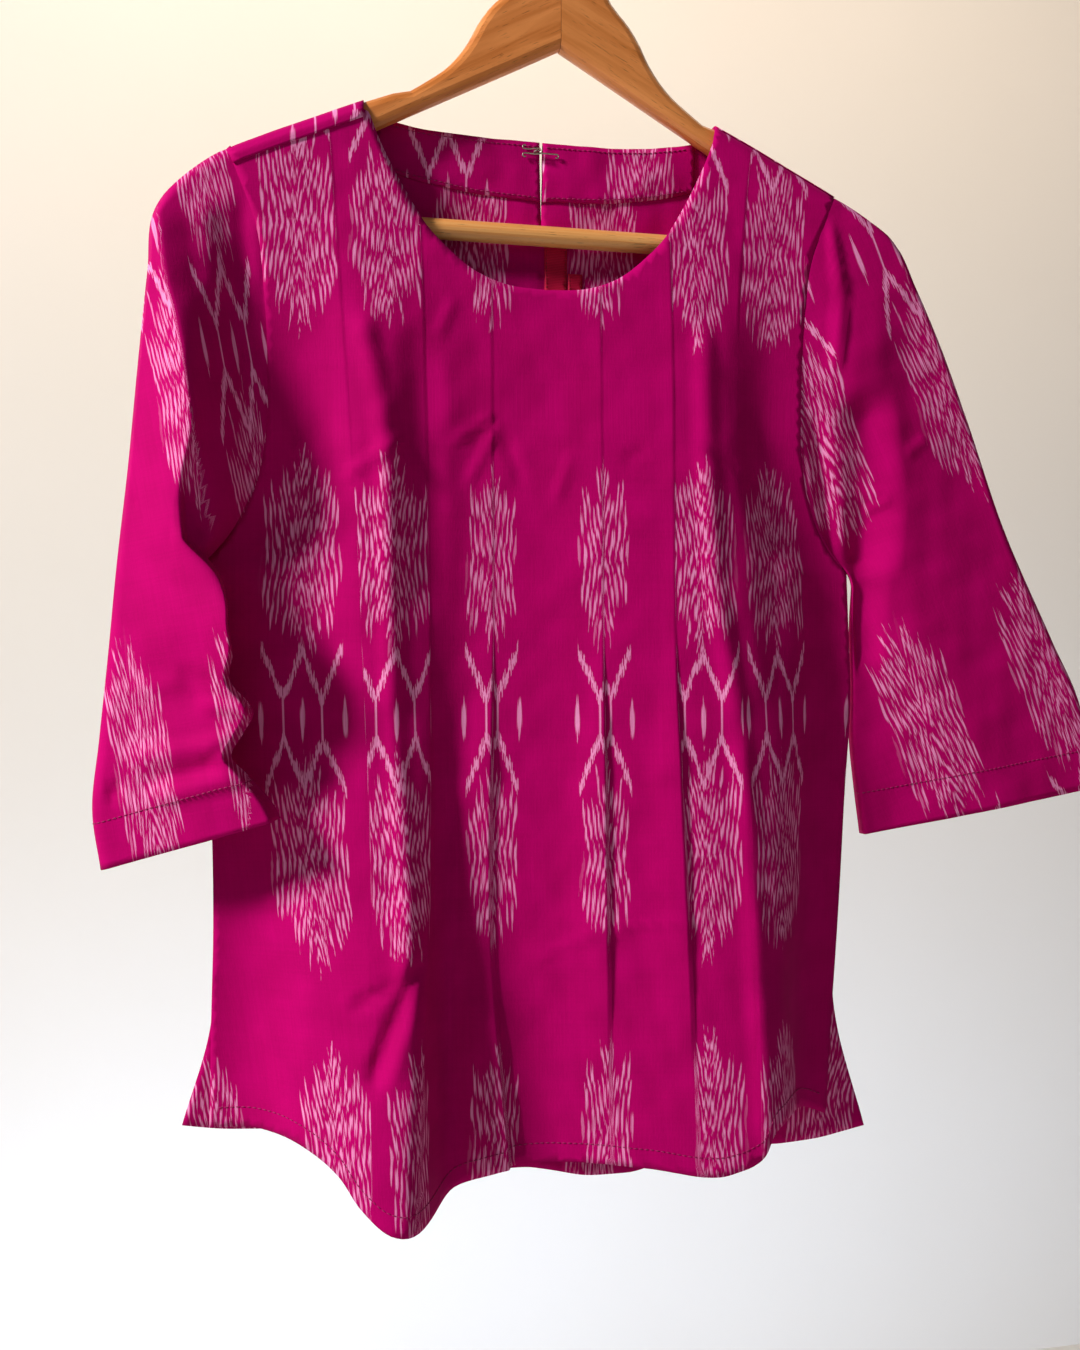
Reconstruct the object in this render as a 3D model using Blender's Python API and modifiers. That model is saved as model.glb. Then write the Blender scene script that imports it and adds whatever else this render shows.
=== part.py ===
"""A hand-woven ikat cotton top with six released tucks, hanging on a wooden hanger.

Metres, +Z up, the front faces -Y. The origin is the inner top of the hanger's hook.
Every cloth piece is cut flat as an outline in (x, q), where q runs down the cloth from
the shoulder ridge, and is then draped over the hanger: a roll over the arm, then a fall
with the folds of the tables below.
"""

import math

import bmesh
import bpy
import numpy as np
from mathutils import Vector
from mathutils.geometry import delaunay_2d_cdt

WALL = 0.0012
GAP = 0.0003
ARMHOLE_GAP = 0.0005
UNDERARM_GAP = 0.0006
BODY_CLEAR = 0.0010
ROLL = 0.0086
SIDE_DEPTH = 0.00075
CENTRE_X = -0.010
LEAN = 0.025

# The cloth's ridge along the shoulders, at its middle surface, for a level hanger.
RIDGE = [  # distance from the hook, height
    (0.000, -0.1290), (0.050, -0.1440), (0.080, -0.1560), (0.097, -0.1645), (0.118, -0.1735),
    (0.1465, -0.1866), (0.1745, -0.1996), (0.199, -0.2126), (0.219, -0.2286), (0.230, -0.2486)]
SEAM_FORWARD = {-1: 0.0120, 1: 0.0010}

# Outlines, from the garment's centre line.
NECKLINE = [  # half width, depth below the neck point
    (0.1080, 0.000), (0.1020, 0.018), (0.0940, 0.036), (0.0855, 0.052), (0.0715, 0.074),
    (0.0615, 0.0845), (0.0415, 0.100), (0.0250, 0.106), (0.0000, 0.108)]
NECK_POINT_Z = -0.1680
BACK_NECK = [  # half width, height
    (0.108, -0.1700), (0.098, -0.1745), (0.080, -0.1785), (0.050, -0.1812), (0.000, -0.1820)]
ARMHOLE = [  # half width, height
    (0.1780, -0.222), (0.1680, -0.250), (0.1640, -0.285), (0.1620, -0.330), (0.1630, -0.370),
    (0.1700, -0.400), (0.1830, -0.425), (0.1960, -0.440)]
SHOULDER_HALF = 0.187
SIDE = [  # height, half width on the -X side, half width on the +X side
    (-0.440, 0.1960, 0.1960), (-0.480, 0.1970, 0.1975), (-0.512, 0.1975, 0.1986),
    (-0.580, 0.1930, 0.1945), (-0.644, 0.1918, 0.1908), (-0.700, 0.1930, 0.1868)]
VENT_Z = -0.700
FRONT_HEM = [  # x, height
    (-0.204, -0.7580), (-0.160, -0.7780), (-0.109, -0.8040), (-0.072, -0.7980), (-0.040, -0.7890),
    (0.000, -0.7950), (0.042, -0.7980), (0.085, -0.7900), (0.1115, -0.7800), (0.170, -0.7760)]
BACK_HEM = [  # x, height
    (-0.219, -0.7640), (-0.160, -0.7850), (-0.100, -0.8010), (0.000, -0.8110), (0.100, -0.8060),
    (0.200, -0.7880)]

# The front's large folds: how far each ridge and the valley stand out from the plain fall.
FRONT_SECTIONS = [  # height, left x, left out, valley x, valley out, right x, right out
    (-0.20, -0.105, 0.000, -0.045, 0.000, 0.085, 0.000),
    (-0.27, -0.105, 0.004, -0.045, 0.002, 0.083, 0.005),
    (-0.36, -0.100, 0.011, -0.045, 0.004, 0.083, 0.013),
    (-0.45, -0.104, 0.011, -0.055, 0.006, 0.088, 0.019),
    (-0.54, -0.104, 0.014, -0.062, 0.007, 0.104, 0.024),
    (-0.63, -0.098, 0.024, -0.066, 0.008, 0.111, 0.029),
    (-0.71, -0.096, 0.037, -0.067, 0.009, 0.116, 0.035),
    (-0.81, -0.102, 0.051, -0.064, 0.011, 0.112, 0.041)]
# Six tucks: where the fold's edge runs, and how deep it stands where it has opened.
TUCK_HEIGHTS = (-0.18, -0.29, -0.48, -0.66, -0.80)
TUCKS = [  # x at the five heights, depth when open, depth at the hem
    ((-0.1380, -0.1310, -0.1210, -0.1180, -0.1180), 0.0010, 0.0000),
    ((-0.0870, -0.0840, -0.0810, -0.0840, -0.0940), 0.0040, 0.0040),
    ((-0.0435, -0.0435, -0.0435, -0.0458, -0.0350), 0.0040, 0.0080),
    ((0.0230, 0.0235, 0.0250, 0.0266, 0.0280), 0.0060, 0.0010),
    ((0.0660, 0.0700, 0.0730, 0.0758, 0.0780), 0.0060, 0.0010),
    ((0.1186, 0.1083, 0.1040, 0.1060, 0.1080), 0.0010, 0.0000)]
PRESSED = 0.0016
RELEASE_Z = -0.47
CLOSE_Z = -0.66

BACK_FOLDS = [  # x at the top, x at the hem, start height, half width top, half width hem, out at hem
    (-0.105, -0.128, -0.26, 0.035, 0.050, 0.026),
    (-0.020, -0.012, -0.40, 0.025, 0.040, 0.014),
    (0.085, 0.100, -0.28, 0.040, 0.052, 0.028)]

SLIT_X = -0.009
SLIT_END = -0.345
SLIT_HALF = 0.0010
FACING_THICK = 0.0010
FACING_LOW = [  # distance from the slit, height of the lower edge
    (0.000, -0.2180), (0.050, -0.2150), (0.090, -0.2070), (0.112, -0.1990)]
LABELS = [  # name, x, top, width, height, thickness
    ("neck_label", 0.0000, -0.2380, 0.0140, 0.0470, 0.0010),
    ("size_label", 0.0122, -0.2600, 0.0090, 0.0120, 0.0010)]

# Sleeve sections from the armhole to the cuff. The fold is a ridge on the front wall.
SLEEVE_COLUMNS = ("outer_x", "outer_z", "outer_y", "inner_x", "inner_z", "inner_y",
                  "outer_round", "inner_round", "fold_at", "fold_out", "back_at", "back_out", "bow")
SLEEVE_RIGHT = [
    (-0.1970, -0.2063, 0.000, -0.2075, -0.4400, 0.000, 0.0086, 0.0008, 0.35, 0.000, 0.40, 0.000, 1.00),
    (-0.2080, -0.2125, 0.000, -0.2100, -0.4410, 0.000, 0.0086, 0.0010, 0.36, 0.003, 0.38, 0.000, 0.92),
    (-0.2190, -0.2220, 0.000, -0.2120, -0.4435, -0.001, 0.0086, 0.0014, 0.36, 0.007, 0.38, 0.002, 0.80),
    (-0.2338, -0.2420, 0.000, -0.2132, -0.4475, -0.003, 0.0086, 0.0018, 0.36, 0.012, 0.36, 0.005, 0.55),
    (-0.2376, -0.2759, 0.000, -0.2138, -0.4540, -0.006, 0.0080, 0.0024, 0.35, 0.016, 0.32, 0.008, 0.28),
    (-0.2425, -0.3250, 0.000, -0.2130, -0.4630, -0.010, 0.0075, 0.0030, 0.34, 0.018, 0.28, 0.010, 0.10),
    (-0.2480, -0.3850, 0.000, -0.2085, -0.4760, -0.015, 0.0070, 0.0034, 0.36, 0.020, 0.26, 0.012, 0.02),
    (-0.2540, -0.4400, -0.001, -0.1975, -0.4940, -0.020, 0.0065, 0.0038, 0.42, 0.021, 0.25, 0.014, 0.00),
    (-0.2590, -0.4950, -0.002, -0.1850, -0.5180, -0.025, 0.0060, 0.0040, 0.50, 0.021, 0.25, 0.016, 0.00),
    (-0.2635, -0.5400, -0.003, -0.1810, -0.5420, -0.027, 0.0060, 0.0042, 0.56, 0.019, 0.25, 0.017, 0.00),
    (-0.2670, -0.5780, -0.004, -0.1760, -0.5630, -0.027, 0.0060, 0.0042, 0.58, 0.019, 0.25, 0.018, 0.00),
    (-0.2625, -0.6110, -0.004, -0.1665, -0.5820, -0.027, 0.0060, 0.0042, 0.58, 0.020, 0.25, 0.018, 0.00)]
SLEEVE_LEFT = [
    (0.1770, -0.2054, 0.000, 0.1875, -0.4400, 0.000, 0.0086, 0.0008, 0.30, 0.000, 0.50, 0.000, 1.00),
    (0.1890, -0.2115, 0.000, 0.1896, -0.4418, 0.000, 0.0086, 0.0010, 0.35, 0.001, 0.50, 0.001, 0.92),
    (0.2017, -0.2190, 0.000, 0.1904, -0.4460, 0.000, 0.0086, 0.0013, 0.40, 0.003, 0.50, 0.002, 0.80),
    (0.2188, -0.2335, 0.000, 0.1904, -0.4530, 0.001, 0.0086, 0.0016, 0.48, 0.005, 0.50, 0.004, 0.55),
    (0.2310, -0.2560, 0.000, 0.1903, -0.4630, 0.002, 0.0080, 0.0020, 0.55, 0.006, 0.50, 0.006, 0.30),
    (0.2473, -0.2894, 0.000, 0.1904, -0.4760, 0.003, 0.0075, 0.0024, 0.60, 0.006, 0.50, 0.008, 0.12),
    (0.2677, -0.3389, 0.000, 0.1908, -0.4930, 0.003, 0.0070, 0.0028, 0.60, 0.005, 0.50, 0.009, 0.03),
    (0.2933, -0.4062, 0.000, 0.1912, -0.5160, 0.003, 0.0065, 0.0032, 0.58, 0.004, 0.48, 0.010, 0.00),
    (0.3294, -0.4802, 0.000, 0.1912, -0.5460, 0.003, 0.0060, 0.0038, 0.55, 0.004, 0.46, 0.011, 0.00),
    (0.3500, -0.5226, 0.000, 0.1940, -0.5740, 0.002, 0.0055, 0.0042, 0.52, 0.004, 0.45, 0.012, 0.00),
    (0.3573, -0.5770, 0.000, 0.1976, -0.6031, 0.001, 0.0050, 0.0045, 0.50, 0.004, 0.45, 0.012, 0.00)]

# Grid of the flat cloth: spacing across, spacing down, and the ring counts of a sleeve.
ACROSS = 0.0125
DOWN = 0.034
FRONT_DOWN = 0.027
ROLL_END = 0.0150
ROLL_STEP = 0.0035
ARMHOLE_STEPS = 18
SLEEVE_RINGS = 18

# The hanger: two arms 12 mm thick that meet in a mitre, a bar and a steel hook.
ARM_THICK = 0.0120
ARM_EDGE = 0.0052
ARM_TOP = [  # distance from the mitre, height
    (-0.010, -0.0660), (0.000, -0.0640), (0.010, -0.0665), (0.020, -0.0765), (0.027, -0.0885),
    (0.032, -0.0980), (0.0435, -0.1110), (0.050, -0.1210), (0.055, -0.1310), (0.061, -0.1400),
    (0.069, -0.1490), (0.080, -0.1575), (0.090, -0.1645)]
ARM_UNDER_Z = -0.130
ARM_UNDER_SLOPE = 0.542
ARM_END = [(0.2180, -0.2350), (0.2205, -0.2430), (0.2195, -0.2510), (0.2130, -0.2555), (0.1830, -0.2530)]
BAR_Z = -0.241
BAR_RADIUS = 0.0060
BAR_HALF = 0.1827
TENON_RADIUS = 0.0035
TENON_LENGTH = 0.0100
HOOK_WIRE = 0.0018
HOOK_RADIUS = 0.0195
HOOK_CENTRE_Z = -0.0177
SHANK_END = -0.0980
EYE_WIRE = 0.00045


def smooth(value):
    value = np.clip(value, 0.0, 1.0)
    return value * value * (3 - 2 * value)


def along(rows, at, column=1):
    """A column of a table as a smooth curve of its first column, read at one or many places."""
    rows = np.array(sorted(rows), float)
    x, y = rows[:, 0], rows[:, column]
    slope = np.gradient(y, x)
    at = np.clip(np.asarray(at, float), x[0], x[-1])
    i = np.clip(np.searchsorted(x, at, side="right") - 1, 0, len(x) - 2)
    width = x[i + 1] - x[i]
    u = (at - x[i]) / width
    return (y[i] * (1 + 2 * u) * (1 - u) ** 2 + y[i + 1] * u * u * (3 - 2 * u)
            + width * (slope[i] * u * (1 - u) ** 2 - slope[i + 1] * u * u * (1 - u)))


def flow(points, count):
    """A smooth line through points, at count even steps of its length."""
    points = np.array(points, float)
    step = np.concatenate([[0], np.cumsum(np.linalg.norm(np.diff(points, axis=0), axis=1))])
    at = np.linspace(0, step[-1], count)
    return np.stack([along(list(zip(step, points[:, k])), at) for k in range(points.shape[1])], 1)


def ridge_z(x):
    return along(RIDGE, np.abs(x)) - LEAN * np.asarray(x)


def q_at(x, z):
    """How far down the cloth from the ridge a height is."""
    drop = np.maximum(ridge_z(x) - z, 0)
    return np.where(drop < ROLL, ROLL * np.arccos(1 - np.minimum(drop / ROLL, 1)),
                    drop + ROLL * (math.pi / 2 - 1))


def roll_over(q):
    """Depth and drop of the cloth at a distance q over the hanger's arm."""
    turn = np.clip(np.asarray(q) / ROLL, -math.pi / 2, math.pi / 2)
    past = np.maximum(np.abs(q) - ROLL * math.pi / 2, 0)
    return ROLL * np.sin(turn), ROLL * (1 - np.cos(turn)) + past


def edge_half(z, side):
    """Half width of the body at a height: the armhole, then the side seam."""
    column = np.where(np.asarray(side) < 0, 1, 2)
    upper = along([(height, half) for half, height in ARMHOLE] + [(-0.20, 0.192)], z)
    lower = np.where(column == 1, along(SIDE, z, 1), along(SIDE, z, 2))
    return np.where(np.asarray(z) > ARMHOLE[-1][1], upper, lower)


def between(x, left, right, low, high):
    """A soft rise from low at left to high at right."""
    u = np.clip((x - left) / np.where(right == left, 1, right - left), 0, 1)
    return low + (high - low) * (1 - np.cos(math.pi * u)) / 2


def sections(x, z):
    """How far the front stands out in its large folds."""
    left_x, left, valley_x, valley, right_x, right = (
        along(FRONT_SECTIONS, z, column) for column in range(1, 7))
    side_left = CENTRE_X - edge_half(z, -1)
    side_right = CENTRE_X + edge_half(z, 1)
    out = between(x, side_left, left_x, 0 * left, left)
    out = np.where(x > left_x, between(x, left_x, valley_x, left, valley), out)
    out = np.where(x > valley_x, between(x, valley_x, right_x, valley, right), out)
    return np.where(x > right_x, between(x, right_x, side_right, right, 0 * right), out)


def tuck_x(tuck, z):
    return along(list(zip(TUCK_HEIGHTS, tuck[0])), z)


def tuck_depth(tuck, z):
    opened = smooth((RELEASE_Z - z) / 0.09)
    hem = smooth((CLOSE_Z - z) / 0.10)
    return PRESSED * (1 - opened) + tuck[1] * opened * (1 - hem) + tuck[2] * hem


def tucks(x, z):
    """Six folds that all lie towards +X: a slow rise, then a step down at the fold's edge."""
    out = 0 * x
    opened = smooth((RELEASE_Z - z) / 0.14)
    rise = 0.012 + 0.016 * opened
    fall = 0.0014 + 0.0070 * opened
    for tuck in TUCKS:
        u = x - tuck_x(tuck, z)
        shape = np.where(u < 0, smooth(1 + u / rise), 1 - smooth(u / fall))
        out = out + tuck_depth(tuck, z) * shape
    return out


def back_folds(x, z):
    out = 0 * x
    for top, hem, start, narrow, wide, depth in BACK_FOLDS:
        u = np.clip((start - z) / (0.80 + start), 0, 1.1)
        half = narrow + (wide - narrow) * u
        bell = np.cos(np.clip((x - top - (hem - top) * u) / half, -1, 1) * math.pi / 2) ** 2
        out = out + depth * smooth(u) ** 0.8 * bell
    return out


def drape(x, q, face, inward=0.0):
    """Points of the front (face -1) or back (face +1) wall from flat cloth coordinates."""
    x, q = np.asarray(x, float), np.asarray(q, float)
    roll, drop = roll_over(q)
    z = ridge_z(x) - drop
    rel = x - CENTRE_X
    room = edge_half(z, np.sign(rel)) - np.abs(rel)
    inside = smooth(room / 0.055)
    pinched = smooth((-0.345 - z) / 0.095)
    parted = smooth((VENT_Z - z) / 0.08)
    edge = 1 - pinched * (1 - (SIDE_DEPTH / ROLL) * (1 + 4 * parted))
    shape = (sections(x, z) + tucks(x, z)) if face < 0 else back_folds(x, z) + 0.010 * smooth((-0.3 - z) / 0.5)
    depth = roll * (edge + (1 - edge) * inside) + shape * smooth(q / 0.05) * inside
    points = np.stack([x, face * depth, z], axis=-1)
    if inward:
        step = 1e-4
        a = drape(x + step, q, face) - drape(x - step, q, face)
        b = drape(x, q + step, face) - drape(x, q - step, face)
        normal = np.cross(a, b)
        normal /= np.linalg.norm(normal, axis=-1, keepdims=True)
        points = points - inward * face * np.sign(normal[..., 1:2]) * normal
    return points


def armhole_shares():
    """Places along the armhole, closer where it rolls over the arm and at the underarm."""
    even = np.linspace(0.075, 0.965, ARMHOLE_STEPS - 4)
    return np.concatenate([[0, 0.0133, 0.0266, 0.0405, 0.0560], even, [0.985, 1.0]])


def armhole_line(side):
    """The armhole from the ridge to the underarm as (x, q)."""
    start = CENTRE_X + side * SHOULDER_HALF
    line = [(start, 0.0)] + [
        (CENTRE_X + side * half, float(q_at(CENTRE_X + side * half, z))) for half, z in ARMHOLE]
    fine = flow(line, 201)
    shares = armhole_shares() * 200
    return np.stack([np.interp(shares, np.arange(201), fine[:, k]) for k in (0, 1)], 1)


def body_side(side, hem, corner):
    """A body panel's side from just below the underarm down to its hem corner, as (x, z)."""
    column = 1 if side < 0 else 2
    rows = [(CENTRE_X + side * row[column], row[0]) for row in SIDE]
    rows.append((corner[0], corner[1]))
    return flow(rows, 15)


def front_outline():
    hem = FRONT_HEM
    points = []
    neck = flow([(CENTRE_X - half, NECK_POINT_Z - depth) for half, depth in NECKLINE], 20)
    full_neck = np.concatenate([neck, (neck * [-1, 1] + [2 * CENTRE_X, 0])[::-1][1:]])
    for side, run in ((-1, 1), (1, -1)):
        seam_q = SEAM_FORWARD[side] + GAP / 2
        armhole = armhole_line(side)
        corner_x = np.interp(seam_q, armhole[:, 1], armhole[:, 0])
        armhole = np.vstack([[corner_x, seam_q], armhole[armhole[:, 1] > seam_q + 0.002]])
        end = hem[0] if side < 0 else hem[-1]
        falls = body_side(side, hem, end)[1:]
        falls = np.stack([falls[:, 0], q_at(falls[:, 0], falls[:, 1])], 1)
        edge = np.concatenate([armhole, falls])
        shoulder = np.linspace(CENTRE_X + side * 0.108, corner_x, 7)[:-1]
        edge = np.concatenate([np.stack([shoulder, shoulder * 0 + seam_q], 1), edge])
        points.append(edge)
    left, right = points
    inner = full_neck[1:-1]
    neck_q = np.maximum(q_at(inner[:, 0], inner[:, 1]), SEAM_FORWARD[-1] * (inner[:, 0] < CENTRE_X))
    neck_line = np.stack([inner[:, 0], neck_q], 1)
    keep = neck_line[:, 1] > 0.016
    return hem_between(left, right, hem, neck_line[keep])


def hem_between(left, right, hem, neck_line):
    low = flow(hem, 34)[1:-1]
    low = np.stack([low[:, 0], q_at(low[:, 0], low[:, 1])], 1)
    return np.concatenate([left, low, right[::-1], neck_line[::-1]])


def back_outline():
    hem = BACK_HEM
    points = []
    for side in (-1, 1):
        seam_q = -SEAM_FORWARD[side] + GAP / 2
        armhole = armhole_line(side)
        corner_x = np.interp(abs(seam_q), armhole[:, 1], armhole[:, 0])
        over = armhole[1:][::-1] * [1, -1]
        armhole = np.vstack([over, armhole])
        armhole = np.vstack([[corner_x, seam_q], armhole[armhole[:, 1] > seam_q + 0.002]])
        end = hem[0] if side < 0 else hem[-1]
        falls = body_side(side, hem, end)[1:]
        falls = np.stack([falls[:, 0], q_at(falls[:, 0], falls[:, 1])], 1)
        shoulder = np.linspace(CENTRE_X + side * 0.108, corner_x, 7)[:-1]
        points.append(np.concatenate([np.stack([shoulder, shoulder * 0 + seam_q], 1), armhole, falls]))
    left, right = points
    halves = np.linspace(0.1065, SLIT_HALF + 0.0, 14)
    neck_left = np.array([(CENTRE_X - half, back_neck_z(half)) for half in halves])
    neck_left[:, 0] += (SLIT_X - CENTRE_X) * np.linspace(0, 1, 14) ** 2
    slit = flow([(SLIT_X - SLIT_HALF, -0.1830), (SLIT_X - SLIT_HALF * 1.3, -0.26), (SLIT_X, SLIT_END)], 9)
    slit = np.concatenate([slit[1:], ((slit - [SLIT_X, 0]) * [-1, 1] + [SLIT_X, 0])[::-1][1:-1]])
    neck_right = np.array([(CENTRE_X + half, back_neck_z(half)) for half in halves])
    neck_right[:, 0] += (SLIT_X - CENTRE_X) * np.linspace(0, 1, 14) ** 2
    neck = np.concatenate([neck_left, slit, neck_right[::-1]])
    neck = np.stack([neck[:, 0], q_at(neck[:, 0], neck[:, 1])], 1)
    return hem_between(left, right, hem, neck)


def back_neck_z(half):
    return float(along(BACK_NECK, half)) - 0.003 * (half > 0.2)


def inside_of(points, outline):
    """Which points lie inside a closed outline."""
    found = np.zeros(len(points), bool)
    x, y = points[:, 0], points[:, 1]
    for (x0, y0), (x1, y1) in zip(outline, np.roll(outline, -1, axis=0)):
        crosses = (y0 > y) != (y1 > y)
        at = x0 + (y - y0) * (x1 - x0) / (y1 - y0 if y1 != y0 else 1)
        found ^= crosses & (x < at)
    return found


def distance_to(points, line, closed=True):
    best = np.full(len(points), 1e9)
    ends = np.roll(line, -1, axis=0) if closed else line[1:]
    for a, b in zip(line if closed else line[:-1], ends):
        run = b - a
        u = np.clip(((points - a) @ run) / max(run @ run, 1e-12), 0, 1)
        best = np.minimum(best, np.linalg.norm(points - a - u[:, None] * run, axis=1))
    return best


def stretch(q, across, down):
    """Spreads the roll over the arm out, so that an even grid is fine there and coarse below."""
    return np.interp(q, [-0.030, ROLL_END, 0.800], [
        -(0.030 + ROLL_END) * across / ROLL_STEP, 0, (0.800 - ROLL_END) * across / down])


def unstretch(v, across, down):
    return np.interp(v, [-(0.030 + ROLL_END) * across / ROLL_STEP, 0, (0.800 - ROLL_END) * across / down],
                     [-0.030, ROLL_END, 0.800])


def divided(line, longest):
    """A closed line with its long edges divided."""
    points = []
    for a, b in zip(line, np.roll(line, -1, axis=0)):
        count = max(1, round(np.linalg.norm(b - a) / longest))
        points += [a + (b - a) * i / count for i in range(count)]
    return np.array(points)


def cut_flat(outline, lines, across, down):
    """Triangles of a flat cloth piece: its outline, the tucks' fold lines and an even grid."""
    shape = np.stack([outline[:, 0], stretch(outline[:, 1], across, down)], 1)
    lines = [np.stack([line[:, 0], stretch(line[:, 1], across, down)], 1) for line in lines]
    shape = divided(shape, across)
    low, high = shape.min(0), shape.max(0)
    grid = []
    for i, v in enumerate(np.arange(low[1], high[1], across * 0.9)):
        x = np.arange(low[0] + (i % 2) * across / 2, high[0], across)
        grid.append(np.stack([x, np.full(len(x), v)], 1))
    grid = np.concatenate(grid)
    grid = grid[inside_of(grid, shape)]
    grid = grid[distance_to(grid, shape) > across * 0.45]
    for line in lines:
        grid = grid[distance_to(grid, line, False) > across * 0.55]
    points = [Vector(p) for p in shape]
    edges = []
    for line in lines:
        line = line[inside_of(line, shape)]
        line = line[distance_to(line, shape) > across * 0.3]
        first = len(points)
        points += [Vector(p) for p in line]
        edges += [(first + i, first + i + 1) for i in range(len(line) - 1)]
    points += [Vector(p) for p in grid]
    border = list(range(len(shape)))
    edges += list(zip(border, border[1:] + border[:1]))
    flat, _, faces, *_ = delaunay_2d_cdt(points, edges, [border], 1, 1e-7)
    flat = np.array([tuple(p) for p in flat])
    flat[:, 1] = unstretch(flat[:, 1], across, down)
    return flat, [tuple(face) for face in faces]


def tuck_lines(step=0.026):
    """Both edges of each tuck's step, as (x, q) lines."""
    lines = []
    heights = np.arange(-0.185, -0.79, -step)
    for tuck in TUCKS:
        for shift in (0.0, 1.0):
            fall = 0.0014 + 0.0070 * smooth((RELEASE_Z - heights) / 0.14)
            x = tuck_x(tuck, heights) + shift * fall
            lines.append(np.stack([x, q_at(x, heights)], 1))
    return lines


def new_object(name, mesh, material, group):
    piece = bpy.data.objects.new(name, mesh)
    group.objects.link(piece)
    mesh.materials.append(material)
    mesh.shade_smooth()
    mesh.set_sharp_from_angle(angle=math.radians(50))
    return piece


def cloth_wall(name, points, faces, thick, material, group, even=True):
    mesh = bpy.data.meshes.new(name)
    mesh.from_pydata([tuple(p) for p in points], [], faces)
    piece = new_object(name, mesh, material, group)
    wall = piece.modifiers.new("Wall", "SOLIDIFY")
    wall.thickness = thick
    wall.offset = 0
    wall.use_even_offset = even
    return piece


def panel(name, outline, face, down, material, group, lines=()):
    flat, faces = cut_flat(outline, lines, ACROSS, down)
    if face < 0:
        faces = [tuple(reversed(triangle)) for triangle in faces]
    return cloth_wall(name, drape(flat[:, 0], flat[:, 1], face), faces, WALL, material, group)


def sleeve_profile(row, w, width):
    """Depth of one wall of a sleeve section at a share w of its width."""
    outer = np.sqrt(1 - (1 - np.clip(w * width / row["outer_round"], 0, 1)) ** 2)
    inner = np.sqrt(1 - (1 - np.clip((1 - w) * width / row["inner_round"], 0, 1)) ** 2)
    body = row["outer_round"] + (row["inner_round"] - row["outer_round"]) * smooth((w - 0.4) / 0.6)
    tip = 0.9 * row["inner_round"]
    return (tip + (body - tip) * inner) * outer


def fold_bell(w, at, sharp=1.0):
    u = np.where(w < at, w / at, (1 - w) / (1 - at))
    return smooth(u) ** sharp


def clear_of_body(points, face):
    """Moves sleeve points forward where they would lie inside the body's outline."""
    x, z = points[:, 0], points[:, 2]
    rel = x - CENTRE_X
    beyond = np.abs(rel) - edge_half(z, np.sign(rel)) - BODY_CLEAR
    front = -drape(x, q_at(x, z), -1)[:, 1]
    limit = np.where(beyond < 0, -(front + WALL + BODY_CLEAR), -(SIDE_DEPTH + WALL) + 1.5 * beyond)
    limit = limit - (WALL + BODY_CLEAR) * (face < 0)
    y = np.where(z < -0.35, np.minimum(points[:, 1], limit), points[:, 1])
    return np.stack([x, y, z], 1)


def sleeve_points(table, side, rings, in_front):
    """Rings of a sleeve from its armhole to its cuff, each closed round front and back."""
    rows = np.array(table, float)
    station = np.concatenate([[0], np.cumsum(np.linalg.norm(np.diff(rows[:, [0, 1]], axis=0), axis=1)
                                             + np.linalg.norm(np.diff(rows[:, [3, 4]], axis=0), axis=1))])
    at = np.linspace(0, 1, rings) ** 1.45 * station[-1]
    table_at = {name: along(list(zip(station, rows[:, k])), at) for k, name in enumerate(SLEEVE_COLUMNS)}
    armhole = armhole_line(side)
    w = armhole_shares()
    hole = {}
    for face in (-1, 1):
        points = drape(armhole[:, 0], armhole[:, 1], face)
        ahead = np.gradient(points, axis=0)
        out = np.cross(ahead, [0, 1, 0])
        out /= np.maximum(np.linalg.norm(out, axis=1, keepdims=True), 1e-9)
        out *= np.sign(side * out[:, :1] + 1e-9)
        out[:2] = np.array([side, 0, -0.5]) / math.sqrt(1.25)
        hole[face] = points + out * (ARMHOLE_GAP + UNDERARM_GAP * smooth((w[:, None] - 0.25) / 0.35))
    found = []
    for k in range(rings):
        row = {name: float(values[k]) for name, values in table_at.items()}
        outer = np.array([row["outer_x"], row["outer_y"], row["outer_z"]])
        if abs(outer[0]) < 0.222:
            outer[2] = max(outer[2], ridge_z(outer[0]))
        inner = np.array([row["inner_x"], row["inner_y"], row["inner_z"]])
        width = np.linalg.norm((outer - inner)[[0, 2]])
        ring = []
        for face in (-1, 1):
            chord = outer + (inner - outer) * w[:, None]
            depth = sleeve_profile(row, w, width)
            if face < 0:
                depth = depth + row["fold_out"] * fold_bell(w, row["fold_at"], 1.2)
            else:
                depth = depth + row["back_out"] * fold_bell(w, row["back_at"], 1.5)
            free = chord + np.stack([0 * w, face * depth, 0 * w], 1)
            bend = hole[face] - (hole[face][0] + (hole[face][-1] - hole[face][0]) * w[:, None])
            low = 1 + 4 * smooth((w[:, None] - 0.55) / 0.45)
            free = free + bend * [1, 0, 1] * max(row["bow"], 0) ** low
            share = smooth(at[k] / station[-1] / 0.09)
            free = hole[face] + (free - hole[face]) * share if k else hole[face]
            ring.append(clear_of_body(free, face) if k > 4 and in_front else free)
        found.append(np.concatenate([ring[0], ring[1][::-1][: -1]]))
    return np.array(found)


def tube(name, rings, material, group, side):
    count = rings.shape[1]
    faces = []
    for k in range(len(rings) - 1):
        for i in range(count):
            j = (i + 1) % count
            quad = (k * count + i, k * count + j, (k + 1) * count + j, (k + 1) * count + i)
            faces.append(quad if side < 0 else tuple(reversed(quad)))
    return cloth_wall(name, rings.reshape(-1, 3), faces, WALL, material, group, even=False)


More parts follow.
